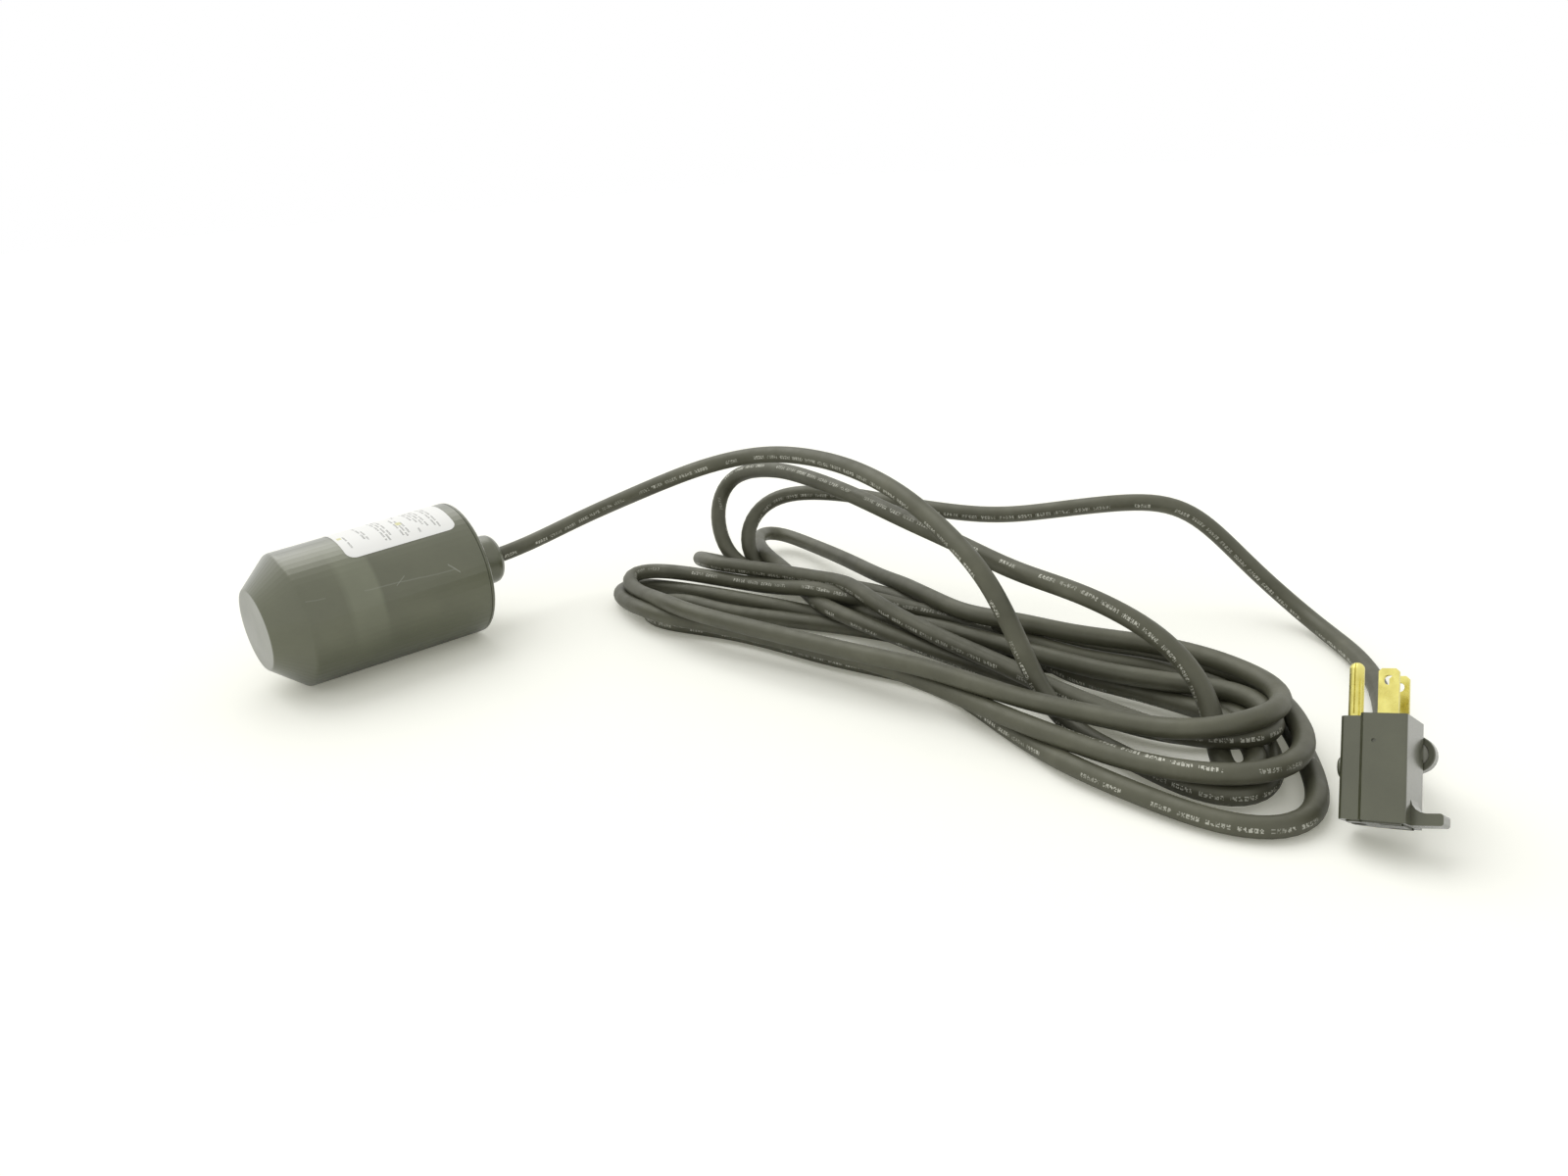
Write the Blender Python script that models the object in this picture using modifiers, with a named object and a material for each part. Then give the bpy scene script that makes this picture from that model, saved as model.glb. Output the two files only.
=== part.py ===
"""Cable float switch for a sump pump, lying on a bench with its cable in a loose hank.

A moulded float holds a rolling steel ball, a lever and a snap-action switch. A two-core
rubber cable runs from the float's gland to a series plug, which has prongs on one face
and a socket for the pump's own plug on the other.

Metres, +Z up. The float lies along X with its nose at -X. The origin is on the bench,
under the middle of the float and its gland.
"""
import math

import bmesh
import bpy
from mathutils import Euler, Matrix, Vector

MM = 0.001
GAP = 0.3 * MM  # left between pieces that touch
MERGE = 0.01 * MM

# The float's moulded shell
FLOAT_DIAMETER = 70.8 * MM  # at the open end. The wall narrows to the nose with the mould's draft
SHOULDER_DIAMETER = 67.4 * MM
NOSE_FACE_DIAMETER = 40.4 * MM
NOSE_LENGTH = 15.1 * MM
BODY_LENGTH = 92.3 * MM  # from the nose's shoulder to the rear rim
SHELL_WALL = 3 * MM
NOSE_FILLET = 1.2 * MM
SHOULDER_FILLET = 3 * MM

# The end cap with its gland
CAP_LIP = 2.2 * MM  # the part of the cap that shows behind the shell
CAP_THICKNESS = 4 * MM
RIM_FILLET = 1.8 * MM
SPIGOT_LENGTH = 8 * MM
SPIGOT_WALL = 2.5 * MM
SEAT_MARGIN = 1 * MM  # how far the shell's straight bore runs on past the carrier's base
GLAND_DIAMETER = 26.6 * MM
GLAND_LENGTH = 19.5 * MM
GLAND_FILLET = 4.5 * MM
CABLE_DIAMETER = 8.2 * MM
SEAL_WALL = 3 * MM
SEAL_RECESS = 1 * MM
SEAL_FLANGE = 2 * MM
POTTING_THICKNESS = 4 * MM
JACKET_END = 25.4 * MM  # how far the cable's jacket runs in from the gland's mouth

# The carrier inside the float
BASE_THICKNESS = 3 * MM
CHEEK_THICKNESS = 2.5 * MM
CHEEK_HALF_HEIGHT = 14.5 * MM
SWITCH_STANDOFF = 19.5 * MM  # from the carrier's base to the switch
LEVER_ROOM = 5 * MM  # from the ball chamber's mouth to the switch
BALL_DIAMETER = 19 * MM
BALL_TRAVEL = 10 * MM
BALL_CLEARANCE = 0.6 * MM
BALL_START = 4 * MM  # how far the ball lies from the chamber's closed end
CHAMBER_WALL = 2.4 * MM
MOUTH_FLANGE = 3 * MM

# The snap-action switch and what it carries
SWITCH_DEPTH = 15.9 * MM  # along the float
SWITCH_WIDTH = 10.3 * MM
SWITCH_LENGTH = 27.8 * MM
SWITCH_COVER = 0.9 * MM
MOUNT_SPACING = 22.2 * MM
MOUNT_SETBACK = 3 * MM
MOUNT_PIN_RADIUS = 1.4 * MM
BUTTON_RADIUS = 1.5 * MM
BUTTON_REACH = 2.1 * MM
BUTTON_DEPTH = 3 * MM
BUTTON_ROOM = 1.2 * MM
BUTTON_OFFSET = 7.5 * MM  # from the lever's pin to the button
TAB_WIDTH = 4.75 * MM
TAB_THICKNESS = 0.8 * MM
TAB_LENGTH = 7 * MM
TAB_ROOT = 3 * MM
TAB_OFFSET = 8 * MM
CONNECTOR_LENGTH = 8 * MM
CONNECTOR_WALL = 0.5 * MM
BARREL_RADIUS = 1.9 * MM
BARREL_LENGTH = 4.5 * MM
CORE_RADIUS = 1.4 * MM
CORE_SPACING = 3.8 * MM

# The lever, which the ball pushes
LEVER_PIN_RADIUS = 1 * MM
LEVER_PIN_DROP = 13 * MM  # below the float's axis
LEVER_LENGTH = 17 * MM
LEVER_WIDTH = 5 * MM
LEVER_THICKNESS = 0.6 * MM
LEVER_EYE_WALL = 0.6 * MM

# The series plug: X from the near blade to the far one, Y to the ground pin, Z with the prongs
BLADE_SPACING = 12.7 * MM
BLADE_WIDTH = 6.35 * MM
BLADE_THICKNESS = 1.5 * MM
BLADE_LENGTH = 15.9 * MM
BLADE_TIP = 1 * MM
BLADE_HOLE_RADIUS = 1.7 * MM
BLADE_HOLE_HEIGHT = 11.9 * MM
BLADE_ROOT = 9 * MM
PIN_OFFSET = 11.9 * MM
PIN_RADIUS = 2.4 * MM
PIN_LENGTH = 19.3 * MM
PIN_SHANK_RADIUS = 1.6 * MM  # inside the block, where the side wall is near
PIN_SEAM = 0.4 * MM
PLUG_THICKNESS = 21 * MM
PLUG_HEIGHT = 35.8 * MM
PLUG_BLADE_SIDE = 6.8 * MM  # from the blades' middle to the plug's edge
PLUG_PIN_SIDE = 14.6 * MM
PLUG_STEP_AT = 6.6 * MM  # where the broad faces step in towards the ground pin
PLUG_STEP = 1.1 * MM
PLUG_TOP_STEP = 0.9 * MM  # how much lower the prong face is beyond that step
PLUG_END_TAPER = 1.3 * MM
PLUG_EDGE = 0.7 * MM
PLUG_CORNER = 2.5 * MM
TAB_REACH = 9.5 * MM
GRIP_THICKNESS = 4 * MM
GRIP_WIDTH = 8.8 * MM
GRIP_RISE = 0.75 * MM  # from the grip's root to its end
GRIP_FILLET = 4.2 * MM
BOSS_RADIUS = 3.9 * MM
BOSS_HEIGHT = 2 * MM
BOSS_DROP = 17.6 * MM
DIMPLE_RADIUS = 0.7 * MM
DIMPLE_DEPTH = 0.6 * MM
DIMPLE_SIDE = 3.3 * MM
DIMPLE_DROP = 9.3 * MM
PLATE_INSET = 1.6 * MM
PLATE_DEPTH = 2 * MM
PLATE_PROUD = 0.5 * MM
SLOT_CLEARANCE = 0.4 * MM
SOCKET_SHIFT = -1.6 * MM  # the socket sits off the prongs' line, clear of the side wall
CONTACT_DEPTH = 13 * MM
CONTACT_LEAF = 0.7 * MM
CONTACT_WIDTH = 6 * MM
RELIEF_LENGTH = 24.5 * MM
RELIEF_BEND = 38 * MM  # the radius that the sleeve is bent to by its cable
RELIEF_PARTS = 4  # straight pieces of the bend behind the collar
RELIEF_COLLAR_RADIUS = 6.3 * MM
RELIEF_COLLAR = 4.5 * MM
RELIEF_ROOT_RADIUS = 5.8 * MM
RELIEF_TIP_RADIUS = 5 * MM
RELIEF_SIDE = -4 * MM
RELIEF_DROP = 10 * MM
PLUG_PLACE = Vector((176.5, -419.2, 38.6)) * MM
PLUG_TURN = Euler([math.radians(a) for a in (-16.7, 33.0, -0.4)])

# The hank: one solid of the loose turns' outer shape
HANK_HEIGHT = 28 * MM
HANK_OUTLINE = [(103, -62), (109, -28), (137, -16), (187, -24), (229, -18), (244, -40), (237, -95),
                (221, -150), (211, -205), (221, -262), (241, -312), (237, -348), (211, -384),
                (181, -400), (149, -400), (123, -384), (115, -350), (121, -300), (129, -250),
                (129, -200), (120, -150), (108, -105)]
HANK_EYE = [(167, -284), (187, -292), (199, -318), (195, -344), (179, -354), (165, -344), (159, -316)]

# The cable's free stretches, in millimetres, chosen along its way
LEAD_ROUTE = [(76, -1, 36.5), (95, -4, 40.5), (118, -10, 47), (142, -24, 57), (157, -50, 68.5),
              (163, -86, 81), (161, -128, 91), (157, -178, 95.5), (154, -216, 90), (150, -243, 79),
              (148, -263, 62), (149, -273, 48), (150, -278, 36)]
LOOP_ROUTE = [(173, -59, 36), (179, -48, 43), (186, -45, 54), (186, -72, 67), (181, -108, 74),
              (173, -162, 76), (166, -207, 72), (165, -241, 66), (169, -269, 61), (173, -295, 56),
              (173, -321, 49), (168, -343, 42), (163, -354, 36)]
TAIL_ROUTE = [(185, -80, 36), (190, -73, 42), (198, -74, 49), (206, -91, 54), (216, -118, 56),
              (226, -150, 56), (234, -184, 56), (245, -211, 57), (260, -233, 58.5), (277, -253, 60),
              (289, -267, 59), (298, -281, 48), (305, -296, 32), (310, -311, 16), (308, -326, 6.5),
              (297, -339, 4.4), (279, -351, 4.4), (260, -364, 4.4), (242, -377, 4.4), (226, -391, 4.5),
              (213, -403, 5.3)]
ROUTE_STEP = 20 * MM

# Places that follow from the sizes
TOTAL_LENGTH = NOSE_LENGTH + BODY_LENGTH + GLAND_LENGTH
AXIS_Z = FLOAT_DIAMETER / 2  # the rear rim stands on the bench
NOSE_X = -TOTAL_LENGTH / 2
SHOULDER_X = NOSE_X + NOSE_LENGTH
RIM_X = SHOULDER_X + BODY_LENGTH
GLAND_X = RIM_X + GLAND_LENGTH
CAP_INNER_X = RIM_X - CAP_THICKNESS
SPIGOT_X = RIM_X - CAP_LIP - SPIGOT_LENGTH
SHELL_INNER = FLOAT_DIAMETER / 2 - SHELL_WALL
SPIGOT_RADIUS = SHELL_INNER - GAP
CABLE_RADIUS = CABLE_DIAMETER / 2
GLAND_BORE = CABLE_RADIUS + GAP + SEAL_WALL + GAP
JACKET_X = GLAND_X - JACKET_END
BASE_BACK_X = SPIGOT_X - GAP
BASE_FRONT_X = BASE_BACK_X - BASE_THICKNESS
SWITCH_BACK_X = BASE_FRONT_X - SWITCH_STANDOFF
SWITCH_FRONT_X = SWITCH_BACK_X - SWITCH_DEPTH
MOUTH_X = SWITCH_FRONT_X - LEVER_ROOM
CHAMBER_RADIUS = BALL_DIAMETER / 2 + BALL_CLEARANCE
CHAMBER_END_X = MOUTH_X - BALL_DIAMETER - BALL_TRAVEL
CHEEK_INNER = SWITCH_WIDTH / 2 + GAP
CHEEK_OUTER = CHEEK_INNER + CHEEK_THICKNESS
LEVER_X = SWITCH_FRONT_X - BUTTON_REACH - GAP - LEVER_THICKNESS / 2
LEVER_Z = AXIS_Z - LEVER_PIN_DROP
BUTTON_Z = LEVER_Z + BUTTON_OFFSET
LEVER_EYE = LEVER_PIN_RADIUS + GAP
MOUNT_X = SWITCH_BACK_X - MOUNT_SETBACK

PARTS = "cable_float_switch"
CUTTERS = "cutters"


def collection(name):
    found = bpy.data.collections.new(name)
    bpy.context.scene.collection.children.link(found)
    return found


def material(name, colour, roughness, metallic=0.0):
    made = bpy.data.materials.new(name)
    made.use_nodes = True
    shader = made.node_tree.nodes["Principled BSDF"]
    shader.inputs["Base Color"].default_value = (*colour, 1)
    shader.inputs["Roughness"].default_value = roughness
    shader.inputs["Metallic"].default_value = metallic
    return made


def add(name, data, finish=None):
    """A part where a finish is given, and otherwise a hidden cutter."""
    made = bpy.data.objects.new(name, data)
    home = PARTS if finish else CUTTERS
    bpy.data.collections[home].objects.link(made)
    if finish:
        data.materials.append(bpy.data.materials[finish])
    else:
        made.hide_render = True
        made.display_type = "WIRE"
    return made


def rounded(corners, steps=4):
    """The outline through (x, y) or (x, y, radius) corners, with an arc at each radius."""
    points = []
    count = len(corners)
    for i, corner in enumerate(corners):
        here = Vector(corner[:2])
        radius = corner[2] if len(corner) > 2 else 0
        if not radius:
            points.append(here)
            continue
        back = (Vector(corners[i - 1][:2]) - here).normalized()
        ahead = (Vector(corners[(i + 1) % count][:2]) - here).normalized()
        half = back.angle(ahead) / 2
        centre = here + (back + ahead).normalized() * (radius / math.sin(half))
        start = here + back * (radius / math.tan(half)) - centre
        turn = start.angle_signed(here + ahead * (radius / math.tan(half)) - centre)
        for k in range(steps + 1):
            spin = Matrix.Rotation(-turn * k / steps, 2)
            points.append(centre + spin @ start)
    return points


def turned(name, corners, steps, finish=None, closed=True):
    """A profile of (radius, height) turned about its own Z. It runs down its outer side."""
    mesh = bpy.data.meshes.new(name)
    points = rounded(corners)
    edges = [(i, i + 1) for i in range(len(points) - 1)]
    if closed:
        edges.append((len(points) - 1, 0))
    mesh.from_pydata([(p.x, 0, p.y) for p in points], edges, [])
    made = add(name, mesh, finish)
    screw = made.modifiers.new("turn", "SCREW")
    screw.steps = screw.render_steps = steps
    screw.use_merge_vertices = True
    screw.merge_threshold = MERGE
    return made


def along_x(made, x, y=0, z=AXIS_Z):
    """Lays an object's Z along +X, with its own origin at the place given."""
    made.location = (x, y, z)
    made.rotation_euler = (0, math.pi / 2, 0)
    return made


def along_y(made, x, y, z):
    made.location = (x, y, z)
    made.rotation_euler = (-math.pi / 2, 0, 0)
    return made


def shade(made, angle=35):
    made.data.shade_smooth()
    made.data.set_sharp_from_angle(angle=math.radians(angle))
    return made


def box(name, low, high, finish=None, edge=0):
    low, high = Vector(low), Vector(high)
    mesh = bpy.data.meshes.new(name)
    form = bmesh.new()
    bmesh.ops.create_cube(form, size=1)
    bmesh.ops.scale(form, vec=high - low, verts=form.verts)
    form.to_mesh(mesh)
    form.free()
    made = add(name, mesh, finish)
    made.location = (low + high) / 2
    if edge:
        bevel = made.modifiers.new("edges", "BEVEL")
        bevel.width = edge
        bevel.segments = 2
        bevel.limit_method = "ANGLE"
    return made


def rod(name, radius, length, finish=None, sides=20, edge=0):
    """A cylinder from its origin up its own Z."""
    corners = [(0, length), (radius, length, edge), (radius, 0, edge), (0, 0)]
    return turned(name, corners, sides, finish, closed=False)


def plate(name, outlines, thickness, finish=None):
    """Flat outlines in the object's XY plane, thickened evenly about that plane."""
    data = bpy.data.curves.new(name, "CURVE")
    data.dimensions = "2D"
    data.fill_mode = "BOTH"
    data.extrude = thickness / 2
    for outline in outlines:
        spline = data.splines.new("POLY")
        spline.points.add(len(outline) - 1)
        for point, place in zip(spline.points, outline):
            point.co = (place[0], place[1], 0, 1)
        spline.use_cyclic_u = True
    return add(name, data, finish)


def meshed(made, finish=None):
    """The same object as a mesh with welded caps, which a Boolean can use."""
    bpy.context.view_layer.update()
    source = made.evaluated_get(bpy.context.evaluated_depsgraph_get())
    mesh = bpy.data.meshes.new_from_object(source)
    form = bmesh.new()
    form.from_mesh(mesh)
    bmesh.ops.remove_doubles(form, verts=form.verts, dist=MERGE)
    form.to_mesh(mesh)
    form.free()
    mesh.materials.clear()
    name, place, parent = made.name, made.matrix_world.copy(), made.parent
    bpy.data.objects.remove(made)
    new = add(name, mesh, finish)
    new.parent = parent
    new.matrix_world = place
    return new


def combine(made, other, operation):
    step = made.modifiers.new(other.name, "BOOLEAN")
    step.operation = operation
    step.object = other
    return made


def cut(made, *others):
    for other in others:
        combine(made, other, "DIFFERENCE")
    return made


def join(made, *others):
    for other in others:
        combine(made, other, "UNION")
    return made


def circle(radius, count, centre=(0, 0)):
    turn = 2 * math.pi / count
    return [(centre[0] + radius * math.cos(turn * i), centre[1] + radius * math.sin(turn * i)) for i in range(count)]


def smooth(points, step, closed=False):
    """Points a step apart on one smooth curve through the points given."""
    points = [Vector(p) for p in points]
    if closed:
        points = [points[-1], *points, points[0], points[1]]
    else:
        points = [2 * points[0] - points[1], *points, 2 * points[-1] - points[-2]]
    fine = []
    for a, b, c, d in zip(points, points[1:], points[2:], points[3:]):
        for k in range(16):
            t = k / 16
            fine.append(0.5 * (2 * b + (c - a) * t + (2 * a - 5 * b + 4 * c - d) * t * t
                               + (3 * b - a - 3 * c + d) * t ** 3))
    if not closed:
        fine.append(points[-2])
    reach = sum((q - p).length for p, q in zip(fine, fine[1:]))
    count = max(2, round(reach / step))
    spaced, walked, wanted = [fine[0]], 0.0, reach / count
    for p, q in zip(fine, fine[1:]):
        part = (q - p).length
        while part and walked + part >= wanted - MERGE and len(spaced) < count:
            spaced.append(p.lerp(q, (wanted - walked) / part))
            wanted += reach / count
        walked += part
    if not closed:
        spaced.append(fine[-1])
    return spaced


def tube(name, points, radius, finish=None, resolution=2, taper=1.0):
    data = bpy.data.curves.new(name, "CURVE")
    data.dimensions = "3D"
    data.bevel_depth = radius
    data.bevel_resolution = resolution
    data.use_fill_caps = True
    spline = data.splines.new("POLY")
    spline.points.add(len(points) - 1)
    for i, place in enumerate(points):
        spline.points[i].co = (*place, 1)
        spline.points[i].radius = 1 + (taper - 1) * i / (len(points) - 1)
    return add(name, data, finish)


def make_materials():
    material("float_plastic", (0.045, 0.046, 0.042), 0.5)
    material("carrier_plastic", (0.55, 0.54, 0.5), 0.5)
    material("switch_plastic", (0.03, 0.03, 0.035), 0.45)
    material("potting_resin", (0.09, 0.07, 0.05), 0.35)
    material("seal_rubber", (0.035, 0.033, 0.03), 0.75)
    material("cable_rubber", (0.04, 0.037, 0.032), 0.7)
    material("plug_plastic", (0.045, 0.045, 0.04), 0.55)
    material("black_core", (0.02, 0.02, 0.02), 0.5)
    material("white_core", (0.75, 0.74, 0.7), 0.5)
    material("brass", (0.78, 0.6, 0.25), 0.3, 1.0)
    material("steel", (0.6, 0.6, 0.6), 0.25, 1.0)


def make_shell():
    """The nose, its cone and the long wall are one moulding, open at the rear."""
    radius = FLOAT_DIAMETER / 2
    shoulder = SHOULDER_DIAMETER / 2
    nose_radius = NOSE_FACE_DIAMETER / 2
    length = BODY_LENGTH + NOSE_LENGTH - CAP_LIP - GAP
    slope = math.atan2(shoulder - nose_radius, NOSE_LENGTH)
    inset = SHELL_WALL * math.tan((math.pi / 2 - slope) / 2)
    inner_shoulder = NOSE_LENGTH + SHELL_WALL * math.tan(slope / 2)
    seat = BASE_FRONT_X - SEAT_MARGIN - NOSE_X
    profile = [(0, SHELL_WALL), (nose_radius - inset, SHELL_WALL), (shoulder - SHELL_WALL, inner_shoulder),
               (SHELL_INNER, seat), (SHELL_INNER, length), (radius, length), (shoulder, NOSE_LENGTH, SHOULDER_FILLET),
               (nose_radius, 0, NOSE_FILLET), (0, 0)]
    shade(along_x(turned("float_shell", profile, 64, "float_plastic", closed=False), NOSE_X))


def make_cap():
    """The cap's spigot seats in the shell, and its gland grips the cable's seal."""
    radius = FLOAT_DIAMETER / 2
    inner = SPIGOT_RADIUS - SPIGOT_WALL
    profile = [(GLAND_BORE, GLAND_X), (GLAND_DIAMETER / 2, GLAND_X, GLAND_FILLET), (GLAND_DIAMETER / 2, RIM_X, 1 * MM),
               (radius, RIM_X, RIM_FILLET), (radius, RIM_X - CAP_LIP), (SPIGOT_RADIUS, RIM_X - CAP_LIP),
               (SPIGOT_RADIUS, SPIGOT_X), (inner, SPIGOT_X), (inner, CAP_INNER_X), (GLAND_BORE, CAP_INNER_X)]
    shade(along_x(turned("end_cap", profile, 64, "float_plastic"), 0))

    bore = CABLE_RADIUS + GAP
    outer = GLAND_BORE - GAP
    flange_x = CAP_INNER_X - GAP
    mouth = GLAND_X - SEAL_RECESS
    profile = [(bore, mouth), (outer, mouth), (outer, flange_x), (GLAND_BORE + SEAL_FLANGE, flange_x),
               (GLAND_BORE + SEAL_FLANGE, flange_x - SEAL_FLANGE), (bore, flange_x - SEAL_FLANGE)]
    shade(along_x(turned("cable_seal", profile, 32, "seal_rubber"), 0))

    inside = GLAND_BORE + SEAL_FLANGE + GAP
    outside = inner - GAP
    profile = [(inside, flange_x), (outside, flange_x), (outside, flange_x - POTTING_THICKNESS),
               (inside, flange_x - POTTING_THICKNESS)]
    shade(along_x(turned("potting", profile, 48, "potting_resin"), 0))


def make_carrier():
    """One moulding: the base against the cap's spigot, two cheeks for the switch, the ball's chamber."""
    outer = CHAMBER_RADIUS + CHAMBER_WALL
    closed_x = CHAMBER_END_X - CHAMBER_WALL
    profile = [(0, CHAMBER_WALL), (CHAMBER_RADIUS, CHAMBER_WALL), (CHAMBER_RADIUS, MOUTH_X - closed_x),
               (outer + MOUTH_FLANGE, MOUTH_X - closed_x),
               (outer + MOUTH_FLANGE, MOUTH_X - closed_x - CHAMBER_WALL),
               (outer, MOUTH_X - closed_x - CHAMBER_WALL), (outer, 0, 1 * MM), (0, 0)]
    carrier = along_x(turned("switch_carrier", profile, 36, "carrier_plastic", closed=False), closed_x)
    base = along_x(rod("carrier_base", SPIGOT_RADIUS, BASE_THICKNESS, sides=48), BASE_FRONT_X)
    bite = 0.5 * MM  # how far the cheeks run into the base and the flange
    cheeks = []
    for side in (-1, 1):
        y = sorted((side * CHEEK_INNER, side * CHEEK_OUTER))
        cheeks.append(box(f"carrier_cheek_{side}", (MOUTH_X - bite, y[0], AXIS_Z - CHEEK_HALF_HEIGHT),
                          (BASE_FRONT_X + bite, y[1], AXIS_Z + CHEEK_HALF_HEIGHT)))
    join(carrier, base, *cheeks)
    window_z = CHEEK_HALF_HEIGHT - CHEEK_THICKNESS
    window = box("carrier_window", (BASE_FRONT_X - bite, -CHEEK_INNER, AXIS_Z - window_z),
                 (BASE_BACK_X + bite, CHEEK_INNER, AXIS_Z + window_z))
    cut(carrier, window)
    for name, radius, x, z in cross_pins():
        hole = rod(f"{name}_hole", radius + GAP, 2 * CHEEK_OUTER + 2 * MM)
        cut(carrier, along_y(hole, x, -CHEEK_OUTER - 1 * MM, z))
    shade(carrier)

    ball = bpy.data.meshes.new("steel_ball")
    form = bmesh.new()
    bmesh.ops.create_uvsphere(form, u_segments=24, v_segments=14, radius=BALL_DIAMETER / 2)
    form.to_mesh(ball)
    form.free()
    made = add("steel_ball", ball, "steel")
    drop = CHAMBER_RADIUS - BALL_DIAMETER / 2 - GAP
    made.location = (CHAMBER_END_X + BALL_DIAMETER / 2 + BALL_START, 0, AXIS_Z - drop)
    made.data.shade_smooth()


def cross_pins():
    """Each pin across the carrier's cheeks: its name, radius and place."""
    half = MOUNT_SPACING / 2
    return [("lever_pin", LEVER_PIN_RADIUS, LEVER_X, LEVER_Z),
            ("switch_pin_lower", MOUNT_PIN_RADIUS, MOUNT_X, AXIS_Z - half),
            ("switch_pin_upper", MOUNT_PIN_RADIUS, MOUNT_X, AXIS_Z + half)]


def make_switch():
    """A bought-in snap-action switch, held between the cheeks by two pins."""
    half_width = SWITCH_WIDTH / 2
    half_length = SWITCH_LENGTH / 2
    seam = -half_width + SWITCH_COVER
    low, high = AXIS_Z - half_length, AXIS_Z + half_length
    case = box("switch_case", (SWITCH_FRONT_X, seam + GAP, low), (SWITCH_BACK_X, half_width, high),
               "switch_plastic", edge=0.5 * MM)
    cover = box("switch_cover", (SWITCH_FRONT_X, -half_width, low), (SWITCH_BACK_X, seam, high), "switch_plastic")
    bore = rod("button_bore", BUTTON_RADIUS + GAP, BUTTON_DEPTH + BUTTON_ROOM + 1 * MM)
    cut(case, along_x(bore, SWITCH_FRONT_X - 1 * MM, 0, BUTTON_Z))
    for name, radius, x, z in cross_pins()[1:]:
        hole = along_y(rod(f"{name}_seat", radius + GAP, SWITCH_WIDTH + 2 * MM), x, -half_width - 1 * MM, z)
        cut(case, hole)
        cut(cover, hole)
    for name, side in (("terminal_common", -1), ("terminal_open", 1)):
        z = AXIS_Z + side * TAB_OFFSET
        half_y, half_z = TAB_WIDTH / 2, TAB_THICKNESS / 2
        tab = box(name, (SWITCH_BACK_X - TAB_ROOT + GAP, -half_y, z - half_z),
                  (SWITCH_BACK_X + TAB_LENGTH, half_y, z + half_z), "brass")
        pocket = box(f"{name}_pocket", (SWITCH_BACK_X - TAB_ROOT, -half_y - GAP, z - half_z - GAP),
                     (SWITCH_BACK_X + 1 * MM, half_y + GAP, z + half_z + GAP))
        cut(case, pocket)
        make_connector("connector_" + name.split("_")[1], tab, z)
    shade(case)

    button = along_x(rod("switch_button", BUTTON_RADIUS, BUTTON_REACH + BUTTON_DEPTH, "carrier_plastic",
                         sides=16, edge=0.5 * MM), SWITCH_FRONT_X - BUTTON_REACH, 0, BUTTON_Z)
    shade(button)
    for name, radius, x, z in cross_pins():
        shade(along_y(rod(name, radius, 2 * CHEEK_OUTER, "steel", sides=16), x, -CHEEK_OUTER, z))


def make_connector(name, tab, z):
    """A push-on connector: a flat sleeve over the tab, and a barrel that takes the core."""
    start = SWITCH_BACK_X + 0.6 * MM
    inner_y, inner_z = TAB_WIDTH / 2 + GAP, TAB_THICKNESS / 2 + GAP
    outer_y, outer_z = inner_y + CONNECTOR_WALL, inner_z + CONNECTOR_WALL
    made = box(name, (start, -outer_y, z - outer_z), (start + CONNECTOR_LENGTH, outer_y, z + outer_z), "brass")
    slot = box(f"{name}_slot", (start - 1 * MM, -inner_y, z - inner_z),
               (SWITCH_BACK_X + TAB_LENGTH + GAP, inner_y, z + inner_z))
    barrel = rod(f"{name}_barrel", BARREL_RADIUS, BARREL_LENGTH + 0.5 * MM, sides=16)
    join(made, along_x(barrel, start + CONNECTOR_LENGTH - 0.5 * MM, 0, z))
    cut(made, slot)


def make_cores():
    """The two insulated cores, from the jacket's end to the connectors."""
    start = SWITCH_BACK_X + 0.6 * MM + CONNECTOR_LENGTH + BARREL_LENGTH + GAP
    end = JACKET_X - GAP
    middle = (start + end) / 2
    for name, side, finish in (("core_black", -1, "black_core"), ("core_white", 1, "white_core")):
        far, near = AXIS_Z + side * TAB_OFFSET, AXIS_Z + side * CORE_SPACING / 2
        points = [(start, 0, far), (start + 2 * MM, 0, far), (middle, 0, (far + near) / 2),
                  (end - 2 * MM, 0, near), (end, 0, near)]
        tube(name, smooth(points, 1.5 * MM), CORE_RADIUS, finish)


def make_lever():
    """A strip with a rolled eye. The ball swings it towards the button."""
    eye = along_y(rod("actuator_lever", LEVER_EYE + LEVER_EYE_WALL, LEVER_WIDTH, "steel", sides=20),
                  LEVER_X, -LEVER_WIDTH / 2, LEVER_Z)
    half = LEVER_THICKNESS / 2
    strip = box("lever_strip", (LEVER_X - half, -LEVER_WIDTH / 2, LEVER_Z),
                (LEVER_X + half, LEVER_WIDTH / 2, LEVER_Z + LEVER_LENGTH))
    bore = along_y(rod("lever_bore", LEVER_EYE, LEVER_WIDTH + 2 * MM), LEVER_X, -LEVER_WIDTH / 2 - 1 * MM, LEVER_Z)
    join(eye, strip)
    cut(eye, bore)
    shade(eye)


def plug_child(made, frame, location=(0, 0, 0), rotation=(0, 0, 0)):
    made.parent = frame
    made.location = location
    made.rotation_euler = rotation
    return made


def in_plug(made, frame):
    """Hangs a piece that was built in the plug's own directions on the plug's frame."""
    made.parent = frame
    return made


def make_plug():
    frame = bpy.data.objects.new("plug_frame", None)
    bpy.data.collections[PARTS].objects.link(frame)
    frame.location = PLUG_PLACE
    frame.rotation_euler = PLUG_TURN
    make_plug_body(frame)
    make_prongs(frame)
    make_contacts(frame)
    make_relief(frame)


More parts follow.
